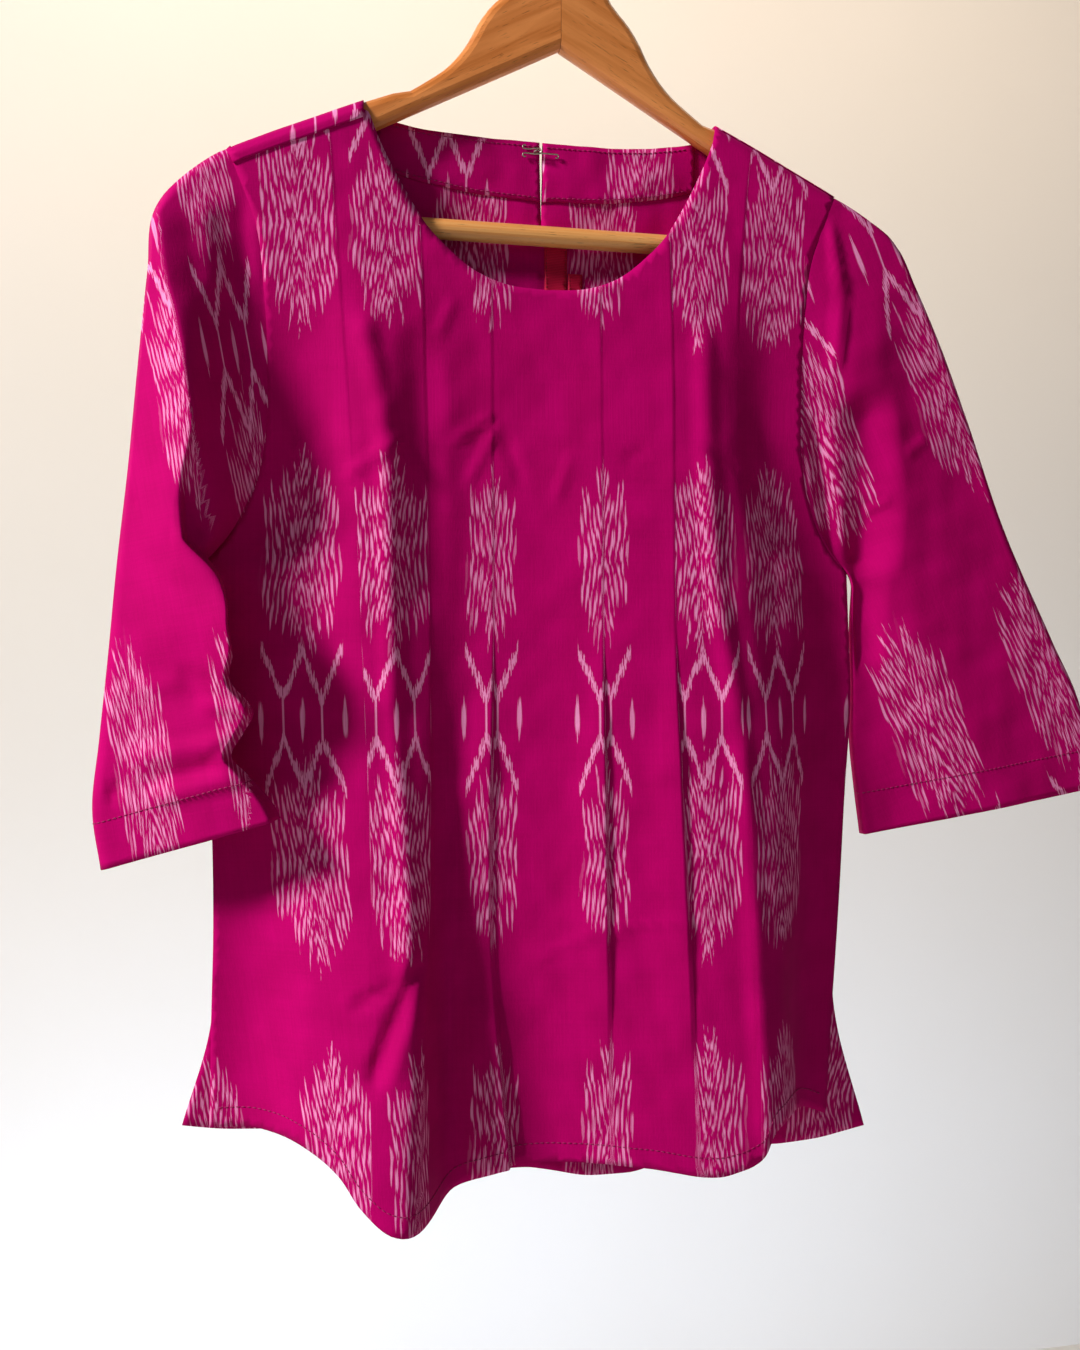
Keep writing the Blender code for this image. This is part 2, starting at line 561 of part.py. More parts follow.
def facing_outline(side):
    """One half of the back neck facing, from the slit to behind the hanger's arm."""
    start = SLIT_X + side * (SLIT_HALF + 0.0004)
    end = CENTRE_X + side * 0.0980
    top = np.linspace(start, end, 12)
    upper = np.array([(x, back_neck_z(abs(x - CENTRE_X)) - 0.0008) for x in top])
    lower = np.array([(x, float(along(FACING_LOW, abs(x - SLIT_X)))) for x in top])
    line = np.concatenate([upper, lower[::-1]])
    return np.stack([line[:, 0], q_at(line[:, 0], line[:, 1])], 1)


def on_back(name, outline, thick, away, across, down, material, group):
    """A thin piece on the inside of the back wall, made from its points, moved in."""
    flat, faces = cut_flat(outline, [], across, down)
    points = drape(flat[:, 0], flat[:, 1], 1, inward=away)
    return cloth_wall(name, points, faces, thick, material, group)


def label_outline(x, top, width, height):
    corners = [(x - width / 2, top), (x - width / 2, top - height),
               (x + width / 2, top - height), (x + width / 2, top)]
    line = []
    for a, b in zip(corners, corners[1:] + corners[:1]):
        steps = 4 if abs(b[1] - a[1]) > 0.02 else 2
        line += [tuple(np.array(a) + (np.array(b) - np.array(a)) * i / steps) for i in range(steps)]
    line = np.array(line)
    return np.stack([line[:, 0], q_at(line[:, 0], line[:, 1])], 1)


def as_mesh(curve, name, material, group):
    """A curve object as a mesh object with its caps welded on."""
    bpy.context.view_layer.update()
    evaluated = curve.evaluated_get(bpy.context.evaluated_depsgraph_get())
    mesh = bpy.data.meshes.new_from_object(evaluated)
    welded = bmesh.new()
    welded.from_mesh(mesh)
    bmesh.ops.remove_doubles(welded, verts=welded.verts, dist=1e-6)
    bmesh.ops.recalc_face_normals(welded, faces=welded.faces)
    welded.to_mesh(mesh)
    welded.free()
    mesh.name = name
    mesh.materials.clear()
    piece = new_object(name, mesh, material, group)
    piece.matrix_world = curve.matrix_world
    bpy.data.objects.remove(curve)
    return piece


def wire(name, path, radius, material, group, sides=2):
    curve = bpy.data.curves.new(name + "_line", "CURVE")
    curve.dimensions = "3D"
    curve.bevel_depth = radius
    curve.bevel_resolution = sides
    curve.use_fill_caps = True
    spline = curve.splines.new("POLY")
    spline.points.add(len(path) - 1)
    for point, place in zip(spline.points, path):
        point.co = (*place, 1)
    piece = bpy.data.objects.new(name + "_line", curve)
    group.objects.link(piece)
    return as_mesh(piece, name, material, group)


def arm_outline(side):
    top = flow(ARM_TOP, 26)
    reach = np.linspace(0.100, 0.2140, 9)
    cover = ridge_z(side * reach) + LEAN * side * reach - WALL / 2 - 0.0006
    cover = cover - 0.0020 * smooth((reach - 0.170) / 0.025)
    shoulder = np.stack([reach, cover], 1)
    end = np.array(ARM_END)
    under = np.linspace(0.1830, -0.0100, 6)
    under = np.stack([under, ARM_UNDER_Z - ARM_UNDER_SLOPE * under], 1)
    return np.concatenate([top, shoulder, end, under])


def hanger_arm(name, side, material, group, cutters):
    outline = arm_outline(side)
    if side > 0:
        outline = outline[::-1]
    curve = bpy.data.curves.new(name + "_line", "CURVE")
    curve.dimensions = "2D"
    curve.fill_mode = "BOTH"
    curve.extrude = ARM_THICK / 2 - ARM_EDGE
    curve.bevel_depth = ARM_EDGE
    curve.bevel_resolution = 2
    curve.offset = -ARM_EDGE
    spline = curve.splines.new("POLY")
    spline.points.add(len(outline) - 1)
    for point, (x, z) in zip(spline.points, outline):
        point.co = (side * x, z - LEAN * side * max(x, 0), 0, 1)
    spline.use_cyclic_u = True
    line = bpy.data.objects.new(name + "_line", curve)
    line.rotation_euler = (math.pi / 2, 0, 0)
    group.objects.link(line)
    arm = as_mesh(line, name, material, group)
    arm.data.transform(arm.matrix_world)
    arm.matrix_world.identity()
    cut = bmesh.new()
    cut.from_mesh(arm.data)
    found = bmesh.ops.bisect_plane(cut, geom=cut.verts[:] + cut.edges[:] + cut.faces[:],
                                   plane_co=(side * GAP / 2, 0, 0), plane_no=(-side, 0, 0),
                                   clear_outer=True)
    rim = [edge for edge in found["geom_cut"] if isinstance(edge, bmesh.types.BMEdge)]
    bmesh.ops.holes_fill(cut, edges=rim)
    bmesh.ops.recalc_face_normals(cut, faces=cut.faces)
    cut.to_mesh(arm.data)
    cut.free()
    for cutter in cutters:
        hole = arm.modifiers.new("Bore", "BOOLEAN")
        hole.object = cutter
        hole.operation = "DIFFERENCE"
    return arm


def cylinder_cutter(name, radius, length, centre, turn, group):
    bpy.ops.mesh.primitive_cylinder_add(vertices=24, radius=radius, depth=length, location=centre,
                                        rotation=turn)
    cutter = bpy.context.object
    cutter.name = name
    for owner in cutter.users_collection:
        owner.objects.unlink(cutter)
    group.objects.link(cutter)
    cutter.hide_render = True
    cutter.display_type = "WIRE"
    return cutter


def bar(name, material, group):
    """The trouser bar, turned with a thinner tenon at each end, its axis along X."""
    end = BAR_HALF + TENON_LENGTH
    profile = [(0, end), (TENON_RADIUS, end), (TENON_RADIUS, BAR_HALF), (BAR_RADIUS, BAR_HALF),
               (BAR_RADIUS, -BAR_HALF), (TENON_RADIUS, -BAR_HALF), (TENON_RADIUS, -end), (0, -end)]
    mesh = bpy.data.meshes.new(name)
    mesh.from_pydata([(x, 0, z) for x, z in profile], [(i, i + 1) for i in range(len(profile) - 1)], [])
    piece = new_object(name, mesh, material, group)
    turned = piece.modifiers.new("Turned", "SCREW")
    turned.steps = 24
    turned.render_steps = 24
    turned.use_merge_vertices = True
    turned.merge_threshold = 0.0001
    piece.rotation_euler = (0, math.pi / 2, 0)
    piece.location = (0, 0, BAR_Z)
    return piece


def hook_path():
    join = math.radians(-55)
    start = Vector((HOOK_RADIUS * math.cos(join), 0, HOOK_CENTRE_Z + HOOK_RADIUS * math.sin(join)))
    foot = Vector((0, 0, -0.0560))
    path = [Vector((0, 0, SHANK_END)), Vector((0, 0, -0.0760)), foot]
    up, into = Vector((0, 0, 0.020)), Vector((-math.sin(join), 0, math.cos(join))) * 0.016
    for i in range(1, 9):
        u = i / 8
        path.append(foot * (1 + 2 * u) * (1 - u) ** 2 + start * u * u * (3 - 2 * u)
                    + up * u * (1 - u) ** 2 - into * u * u * (1 - u))
    for i in range(1, 27):
        turn = join + math.radians(255) * i / 26
        path.append(Vector((HOOK_RADIUS * math.cos(turn), 0, HOOK_CENTRE_Z + HOOK_RADIUS * math.sin(turn))))
    return path


def catch_places():
    """Where the hook and eye lie on the inside of the back neck: centre and cloth face depth."""
    x = SLIT_X
    z = -0.1885
    q = float(q_at(x, z))
    face_y = float(drape(x, q, 1)[1]) - WALL / 2 - GAP - FACING_THICK
    return x, z, face_y - GAP - EYE_WIRE


def ring_foot(centre_x, centre_z, y, radius, from_turn, to_turn, count=9):
    turns = np.linspace(from_turn, to_turn, count)
    return [(centre_x + radius * math.cos(t), y, centre_z + radius * math.sin(t)) for t in turns]


def eye_path():
    x, z, y = catch_places()
    near, far, raised = x - 0.0095, x - 0.0008, y - 2 * EYE_WIRE - 0.0004
    lower = ring_foot(near - 0.0012, z - 0.0024, y, 0.0011, 5.5, 1.6)
    loop = [(near + 0.002, y, z - 0.0013), (near + 0.005, (y + raised) / 2, z - 0.0017)]
    for i in range(7):
        turn = -math.pi / 2 + math.pi * i / 6
        loop.append((far - 0.0016 + 0.0016 * math.cos(turn), raised, z + 0.0016 * math.sin(turn)))
    mirrored = [(px, py, 2 * z - pz) for px, py, pz in (lower + loop[:2])[::-1]]
    return lower + loop + mirrored


def hook_eye_path():
    x, z, y = catch_places()
    near, tip = x + 0.0080, x - 0.0040
    top = y - 4 * EYE_WIRE - 0.0008
    lower = ring_foot(near + 0.0012, z - 0.0018, y, 0.0011, -2.3, 1.55)
    shank = [(near - 0.0015, y, z - 0.0007), (x + 0.001, y, z - 0.0007), (tip, y, z - 0.0007)]
    bend = [(tip - 0.0010, (y + top) / 2 + 0.0004, z - 0.0007), (tip - 0.0010, (y + top) / 2 - 0.0004, z - 0.0005),
            (tip, top, z - 0.0002), (x - 0.0015, top, z)]
    return lower + shank + bend


def material(name, colour, roughness, metallic=0.0):
    made = bpy.data.materials.new(name)
    made.use_nodes = True
    shader = made.node_tree.nodes["Principled BSDF"]
    shader.inputs["Base Color"].default_value = (*colour, 1)
    shader.inputs["Roughness"].default_value = roughness
    shader.inputs["Metallic"].default_value = metallic
    made.diffuse_color = (*colour, 1)
    return made


def collection(name):
    made = bpy.data.collections.new(name)
    bpy.context.scene.collection.children.link(made)
    return made


def build():
    for old in list(bpy.data.objects):
        bpy.data.objects.remove(old)
    top = collection("ikat_top_on_hanger")
    tools = collection("cutters")
    cotton = [material("cotton_" + name, colour, 0.85) for name, colour in (
        ("front", (0.55, 0.0, 0.18)), ("back", (0.42, 0.0, 0.15)), ("sleeve_right", (0.50, 0.0, 0.17)),
        ("sleeve_left", (0.50, 0.0, 0.17)), ("facing_right", (0.40, 0.0, 0.15)),
        ("facing_left", (0.40, 0.0, 0.15)))]
    red = [material("label_" + name, (0.45, 0.01, 0.03), 0.6) for name in ("neck", "size")]
    wood = [material("wood_" + name, colour, 0.35) for name, colour in (
        ("arm_right", (0.55, 0.19, 0.03)), ("arm_left", (0.55, 0.19, 0.03)), ("bar", (0.62, 0.34, 0.10)))]
    steel = [material("steel_" + name, (0.6, 0.6, 0.6), 0.25, 1.0) for name in ("hook", "catch", "loop")]

    panel("front", front_outline(), -1, FRONT_DOWN, cotton[0], top, tuck_lines())
    panel("back", back_outline(), 1, DOWN, cotton[1], top)
    for name, side, table, shade in (("sleeve_right", -1, SLEEVE_RIGHT, cotton[2]),
                                     ("sleeve_left", 1, SLEEVE_LEFT, cotton[3])):
        tube(name, sleeve_points(table, side, SLEEVE_RINGS, side < 0), shade, top, side)
    away = WALL / 2 + GAP + FACING_THICK / 2
    on_back("neck_facing_right", facing_outline(-1), FACING_THICK, away, 0.010, 0.014, cotton[4], top)
    on_back("neck_facing_left", facing_outline(1), FACING_THICK, away, 0.010, 0.014, cotton[5], top)
    for (name, x, high, width, height, thick), shade in zip(LABELS, red):
        away = WALL / 2 + GAP + thick / 2
        on_back(name, label_outline(x, high, width, height), thick, away, 0.008, 0.012, shade, top)
    wire("neck_eye", eye_path(), EYE_WIRE, steel[2], top, 1)
    wire("neck_hook", hook_eye_path(), EYE_WIRE, steel[1], top, 1)

    bore = cylinder_cutter("shank_bore", HOOK_WIRE + GAP, 0.0700, (0, 0, -0.0335 - 0.0300), (0, 0, 0), tools)
    for name, side, shade in (("hanger_arm_right", -1, wood[0]), ("hanger_arm_left", 1, wood[1])):
        deep = TENON_LENGTH + 0.0016
        socket = cylinder_cutter(name + "_socket", TENON_RADIUS + GAP, deep,
                                 (side * (BAR_HALF - 0.0007 + deep / 2), 0, BAR_Z), (0, math.pi / 2, 0), tools)
        hanger_arm(name, side, shade, top, (bore, socket))
    bar("hanger_bar", wood[2], top)
    wire("hanger_hook", hook_path(), HOOK_WIRE, steel[0], top, 2)


build()
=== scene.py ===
"""The looks of a hand-woven ikat cotton top on a wooden hanger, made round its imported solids.

Metres, +Z up, the front faces -Y, so the image's left is -X, the wearer's right. The origin
is the inner top of the hanger's hook. Every cloth piece is a thin shell on its solid's form:
flat points (x, q), with q down the cloth from the shoulder ridge, draped over the hanger with
the folds of the tables below.
"""

import math

import bpy
import numpy as np
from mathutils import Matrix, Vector
from mathutils.geometry import delaunay_2d_cdt


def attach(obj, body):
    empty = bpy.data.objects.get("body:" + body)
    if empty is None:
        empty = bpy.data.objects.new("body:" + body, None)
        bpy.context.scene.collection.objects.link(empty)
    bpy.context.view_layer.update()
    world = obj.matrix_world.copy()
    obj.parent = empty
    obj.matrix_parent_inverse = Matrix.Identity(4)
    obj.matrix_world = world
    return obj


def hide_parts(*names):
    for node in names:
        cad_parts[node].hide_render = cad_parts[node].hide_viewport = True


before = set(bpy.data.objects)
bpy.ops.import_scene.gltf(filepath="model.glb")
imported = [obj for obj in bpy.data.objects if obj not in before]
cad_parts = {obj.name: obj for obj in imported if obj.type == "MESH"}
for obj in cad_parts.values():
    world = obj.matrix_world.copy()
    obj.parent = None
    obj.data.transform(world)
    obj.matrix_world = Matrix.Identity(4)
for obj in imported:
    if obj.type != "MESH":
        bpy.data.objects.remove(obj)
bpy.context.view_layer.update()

WALL = 0.0012  # the solids' cloth
SHELL = 0.0005  # the cloth as it shows
ARMHOLE_GAP = 0.0005  # between body and sleeve along the seam
UNDERARM_GAP = 0.0006  # what that gap grows by at the underarm
BODY_CLEAR = 0.0010  # between the body and a sleeve that hangs before it
ROLL = 0.0086  # radius of the cloth's turn over the hanger's arm
SIDE_DEPTH = 0.00045  # half the depth where front and back meet at a side seam
SIDE_BLEND = 0.055  # how far in from the side the folds reach their full depth
PINCH_Z = -0.345  # below this the sides close from the arm's roundness to the seam
CENTRE_X = -0.010  # the top's middle, a little beside the hook
LEAN = 0.025  # slope of the tilted hanger

# The cloth's ridge along the shoulders, for a level hanger.
RIDGE = [  # distance from the hook, height
    (0.000, -0.1290), (0.050, -0.1440), (0.080, -0.1560), (0.097, -0.1645), (0.118, -0.1735),
    (0.1465, -0.1866), (0.1745, -0.1996), (0.199, -0.2126), (0.219, -0.2286), (0.230, -0.2486)]
SEAM_FORWARD = {-1: 0.0120, 1: 0.0010}
SEAM_ALLOWANCE = 0.005
NECK_HALF = 0.108

NECKLINE = [  # half width, depth below the neck point
    (0.1080, 0.000), (0.1020, 0.018), (0.0940, 0.036), (0.0855, 0.052), (0.0715, 0.074),
    (0.0615, 0.0845), (0.0415, 0.100), (0.0250, 0.106), (0.0000, 0.108)]
NECK_POINT_Z = -0.1680
BACK_NECK = [  # half width, height
    (0.108, -0.1700), (0.098, -0.1745), (0.080, -0.1785), (0.050, -0.1812), (0.000, -0.1820)]
ARMHOLE = [  # half width, height
    (0.1780, -0.222), (0.1680, -0.250), (0.1640, -0.285), (0.1620, -0.330), (0.1630, -0.370),
    (0.1700, -0.400), (0.1830, -0.425), (0.1960, -0.440)]
SHOULDER_HALF = 0.187
SIDE = [  # height, half width on the -X side, half width on the +X side
    (-0.440, 0.1960, 0.1960), (-0.480, 0.1970, 0.1975), (-0.512, 0.1975, 0.1986),
    (-0.580, 0.1930, 0.1945), (-0.644, 0.1918, 0.1908), (-0.700, 0.1930, 0.1868)]
VENT_Z = -0.700
FRONT_HEM = [  # x, height
    (-0.2040, -0.7585), (-0.1740, -0.7592), (-0.1574, -0.7630), (-0.1360, -0.7770), (-0.1230, -0.7950),
    (-0.1080, -0.8072), (-0.0845, -0.8076), (-0.0680, -0.7980), (-0.0520, -0.7925), (-0.0400, -0.7885),
    (0.0085, -0.7860), (0.0425, -0.7890), (0.0928, -0.7935), (0.1110, -0.7860), (0.1190, -0.7720),
    (0.1450, -0.7670), (0.1700, -0.7760)]
BACK_HEM = [  # x, height
    (-0.219, -0.7580), (-0.160, -0.7690), (-0.100, -0.7900), (0.000, -0.8090), (0.050, -0.8110),
    (0.100, -0.8060), (0.200, -0.7880)]

FRONT_SECTIONS = [  # height, left x, left out, valley x, valley out, right x, right out
    (-0.20, -0.105, 0.000, -0.045, 0.000, 0.085, 0.000),
    (-0.27, -0.119, 0.004, -0.045, 0.002, 0.0855, 0.005),
    (-0.31, -0.118, 0.008, -0.045, 0.003, 0.0855, 0.009),
    (-0.36, -0.107, 0.012, -0.048, 0.004, 0.0853, 0.013),
    (-0.45, -0.105, 0.014, -0.055, 0.006, 0.0890, 0.019),
    (-0.54, -0.103, 0.018, -0.062, 0.007, 0.1030, 0.024),
    (-0.63, -0.097, 0.026, -0.066, 0.008, 0.1085, 0.029),
    (-0.71, -0.0965, 0.038, -0.067, 0.009, 0.1115, 0.035),
    (-0.81, -0.102, 0.051, -0.064, 0.011, 0.1140, 0.041)]
TUCK_HEIGHTS = (-0.18, -0.29, -0.48, -0.66, -0.80)
# Each tuck's x at the five heights, its depth while pressed, the height where that ends, its depth
# when open and at the hem, and the width of cloth that it hides.
TUCKS = [
    ((-0.1380, -0.1310, -0.1210, -0.1180, -0.1180), 0.0003, -0.39, 0.0000, 0.0000, 0.0300),
    ((-0.0870, -0.0840, -0.0810, -0.0840, -0.0940), 0.0003, -0.60, 0.0025, 0.0000, 0.0155),
    ((-0.0435, -0.0435, -0.0435, -0.0458, -0.0350), 0.0003, -0.90, 0.0026, 0.0065, 0.0155),
    ((0.0225, 0.0220, 0.0209, 0.0214, 0.0225), 0.0003, -0.90, 0.0030, 0.0000, 0.0155),
    ((0.0655, 0.0657, 0.0637, 0.0680, 0.0720), 0.0004, -0.90, 0.0030, 0.0000, 0.0155),
    ((0.1186, 0.1083, 0.1040, 0.1060, 0.1080), 0.0003, -0.31, 0.0000, 0.0000, 0.0300)]
RELEASE_Z = -0.47
CLOSE_Z = -0.66
BACK_FOLDS = [  # x at the top, x at the hem, start height, half width top, half width hem, out at hem
    (-0.105, -0.128, -0.26, 0.035, 0.050, 0.026),
    (-0.020, -0.012, -0.40, 0.025, 0.040, 0.014),
    (0.085, 0.100, -0.28, 0.040, 0.052, 0.028)]

# Soft creases, listed one by one: a ridge stands out of the cloth, a trough goes in.
CREASES = {  # x and height of both ends, half width, out
    "front": [
        (-0.1200, -0.3000, -0.1092, -0.3466, 0.010, 0.0030),
        (-0.1092, -0.3466, -0.1060, -0.3800, 0.010, 0.0030),
        (-0.1060, -0.3800, -0.1050, -0.4500, 0.010, 0.0035),
        (-0.1050, -0.4500, -0.1030, -0.5300, 0.010, 0.0035),
        (-0.1030, -0.5300, -0.0975, -0.6100, 0.010, 0.0030),
        (-0.0975, -0.6100, -0.0962, -0.6834, 0.010, 0.0030),
        (-0.1500, -0.3900, -0.1450, -0.5700, 0.032, -0.0060),
        (-0.0860, -0.3100, -0.0840, -0.4600, 0.018, -0.0035),
        (0.0855, -0.2956, 0.0853, -0.3687, 0.011, 0.0025),
        (0.0853, -0.3687, 0.0888, -0.4525, 0.011, 0.0030),
        (0.0888, -0.4525, 0.1025, -0.5356, 0.011, 0.0030),
        (0.1025, -0.5356, 0.1076, -0.6064, 0.011, 0.0030),
        (0.1076, -0.6064, 0.1137, -0.7805, 0.011, 0.0030),
        (0.1250, -0.3300, 0.1330, -0.5200, 0.020, -0.0030),
        (-0.1166, -0.7282, -0.1010, -0.6882, 0.009, -0.0040),
        (-0.1010, -0.6882, -0.0909, -0.6629, 0.007, -0.0040),
        (-0.1088, -0.7316, -0.0952, -0.6924, 0.009, 0.0016),
        (-0.1267, -0.6874, -0.1018, -0.6749, 0.006, -0.0025),
        (-0.1767, -0.7039, -0.1560, -0.7356, 0.007, 0.0022),
        (-0.1728, -0.6320, -0.1535, -0.6180, 0.006, 0.0022),
        (-0.0164, -0.6669, 0.0171, -0.6520, 0.004, 0.0012),
        (0.0171, -0.6520, 0.0687, -0.6461, 0.004, 0.0012),
        (-0.1314, -0.3913, -0.0967, -0.3680, 0.006, 0.0016),
        (-0.0669, -0.3672, -0.0432, -0.3522, 0.005, 0.0014),
        (-0.0574, -0.3911, -0.0394, -0.3571, 0.005, 0.0012),
        (-0.0352, -0.3657, -0.0254, -0.3901, 0.005, -0.0012),
        (-0.0060, -0.4003, 0.0042, -0.3718, 0.005, 0.0010),
        (0.0357, -0.3748, 0.0479, -0.3697, 0.004, -0.0012),
        (0.0850, -0.3688, 0.1098, -0.3804, 0.006, -0.0015),
        (-0.0750, -0.3067, -0.0664, -0.2854, 0.006, 0.0010)],
    "back": [
        (-0.1300, -0.2600, -0.0700, -0.3000, 0.012, 0.0018),
        (0.1150, -0.2600, 0.0500, -0.3100, 0.013, 0.0020),
        (-0.1450, -0.4600, -0.0900, -0.4900, 0.010, 0.0024),
        (0.1400, -0.4500, 0.0800, -0.4950, 0.011, -0.0022),
        (-0.0500, -0.5600, 0.0300, -0.5500, 0.007, 0.0014),
        (-0.0700, -0.6900, -0.0500, -0.7500, 0.010, -0.0030),
        (0.0300, -0.6600, 0.0450, -0.7300, 0.011, 0.0028)],
    "sleeve_right": [
        (-0.2453, -0.5488, -0.1918, -0.5390, 0.008, 0.0030),
        (-0.2401, -0.5624, -0.1897, -0.5498, 0.007, -0.0030),
        (-0.2349, -0.5717, -0.1823, -0.5574, 0.008, 0.0030),
        (-0.2086, -0.5177, -0.1786, -0.5251, 0.007, 0.0030),
        (-0.2191, -0.5025, -0.1860, -0.5089, 0.008, -0.0020),
        (-0.2515, -0.4045, -0.2425, -0.4093, 0.005, -0.0015),
        (-0.2587, -0.5701, -0.2507, -0.5648, 0.006, -0.0020),
        (-0.2634, -0.5164, -0.2085, -0.5035, 0.008, 0.0012),
        (-0.2059, -0.2391, -0.2005, -0.2921, 0.012, 0.0030),
        (-0.1845, -0.2365, -0.1852, -0.2926, 0.010, -0.0025)],
    "sleeve_right_behind": [
        (-0.2450, -0.4300, -0.2100, -0.4150, 0.010, 0.0025),
        (-0.2400, -0.5300, -0.2000, -0.5150, 0.009, 0.0025),
        (-0.2450, -0.5500, -0.2050, -0.5400, 0.008, -0.0022)],
    "sleeve_left": [
        (0.1708, -0.2227, 0.1775, -0.2682, 0.006, 0.0030),
        (0.1775, -0.2682, 0.1735, -0.3125, 0.006, 0.0030),
        (0.1930, -0.3300, 0.2018, -0.3936, 0.022, -0.0060),
        (0.2018, -0.3936, 0.1985, -0.4374, 0.022, -0.0070),
        (0.1985, -0.4374, 0.1960, -0.5000, 0.016, -0.0035),
        (0.1615, -0.3452, 0.1769, -0.4316, 0.010, -0.0040),
        (0.1971, -0.4012, 0.2120, -0.3933, 0.005, 0.0010),
        (0.2223, -0.3648, 0.2361, -0.3536, 0.006, 0.0010)],
    "sleeve_left_behind": [
        (0.2100, -0.3500, 0.2300, -0.4200, 0.013, 0.0040),
        (0.2500, -0.4500, 0.3000, -0.4700, 0.010, 0.0018)]}
# The sharp fold down the image-left sleeve: its place and how steep both its sides are.
SLEEVE_FOLD = [  # height, x, out, width towards the outer edge, width towards the body
    (-0.225, -0.2330, 0.000, 0.020, 0.030), (-0.251, -0.2310, 0.011, 0.018, 0.030),
    (-0.284, -0.2274, 0.018, 0.022, 0.032), (-0.309, -0.2217, 0.022, 0.026, 0.032),
    (-0.360, -0.2138, 0.026, 0.034, 0.032), (-0.408, -0.2059, 0.024, 0.046, 0.028),
    (-0.451, -0.1990, 0.017, 0.056, 0.018), (-0.489, -0.1930, 0.010, 0.066, 0.012),
    (-0.515, -0.1820, 0.000, 0.070, 0.010)]
# How far the same sleeve's crumpled inner edge lies outside its even line, and how far ahead of it.
EDGE_AHEAD = [(-0.410, 0.000), (-0.440, 0.010), (-0.470, 0.013), (-0.500, 0.006), (-0.530, 0.000)]
EDGE_ZIGZAG = [  # height, shift along x
    (-0.430, 0.0000), (-0.447, 0.0150), (-0.465, 0.0180), (-0.478, 0.0130), (-0.490, 0.0080),
    (-0.507, -0.0030), (-0.524, 0.0030), (-0.535, -0.0040), (-0.549, -0.0125), (-0.558, -0.0060),
    (-0.570, 0.0000), (-0.590, 0.0000)]

SLIT_X = -0.009
SLIT_END = -0.345
SLIT_HALF = 0.0009
SLIT_HALVES = [  # height, half width
    (-0.345, 0.0), (-0.300, 0.00012), (-0.222, 0.00015), (-0.200, 0.0006), (-0.170, 0.0009)]
FACING_THICK = 0.0006
FACING_OFF_SLIT = 0.0004
RIBBON_THICK = 0.0005
FACING_LOW = [  # distance from the slit, height of the lower edge
    (0.000, -0.2180), (0.050, -0.2150), (0.090, -0.2070), (0.112, -0.1990)]
LABELS = [  # name, x, top, width, height
    ("neck_label", 0.0000, -0.2380, 0.0140, 0.0470),
    ("size_label", 0.0122, -0.2600, 0.0090, 0.0120)]

SLEEVE_COLUMNS = ("outer_x", "outer_z", "outer_y", "inner_x", "inner_z", "inner_y",
                  "outer_round", "inner_round", "fold_at", "fold_out", "back_at", "back_out", "bow")
SLEEVE_RIGHT = [
    (-0.1970, -0.2063, 0.000, -0.2075, -0.4400, 0.000, 0.0086, 0.0008, 0.35, 0.000, 0.40, 0.000, 1.00),
    (-0.2080, -0.2125, 0.000, -0.2100, -0.4410, 0.000, 0.0086, 0.0010, 0.36, 0.003, 0.38, 0.000, 0.92),
    (-0.2190, -0.2220, 0.000, -0.2120, -0.4435, -0.001, 0.0086, 0.0014, 0.36, 0.007, 0.38, 0.002, 0.80),
    (-0.2338, -0.2420, 0.000, -0.2132, -0.4475, -0.003, 0.0086, 0.0018, 0.36, 0.012, 0.36, 0.005, 0.55),
    (-0.2376, -0.2759, 0.000, -0.2138, -0.4540, -0.006, 0.0080, 0.0024, 0.35, 0.016, 0.32, 0.008, 0.28),
    (-0.2425, -0.3250, 0.000, -0.2130, -0.4630, -0.010, 0.0075, 0.0030, 0.34, 0.018, 0.28, 0.010, 0.10),
    (-0.2480, -0.3850, 0.000, -0.2085, -0.4760, -0.015, 0.0070, 0.0034, 0.36, 0.020, 0.26, 0.012, 0.02),
    (-0.2540, -0.4400, -0.001, -0.1975, -0.4940, -0.020, 0.0065, 0.0038, 0.42, 0.021, 0.25, 0.014, 0.00),
    (-0.2590, -0.4950, -0.002, -0.1850, -0.5180, -0.025, 0.0060, 0.0040, 0.50, 0.021, 0.25, 0.016, 0.00),
    (-0.2635, -0.5400, -0.003, -0.1810, -0.5420, -0.027, 0.0060, 0.0042, 0.56, 0.019, 0.25, 0.017, 0.00),
    (-0.2670, -0.5780, -0.004, -0.1760, -0.5630, -0.027, 0.0060, 0.0042, 0.58, 0.019, 0.25, 0.018, 0.00),
    (-0.2625, -0.6110, -0.004, -0.1665, -0.5820, -0.027, 0.0060, 0.0042, 0.58, 0.020, 0.25, 0.018, 0.00)]
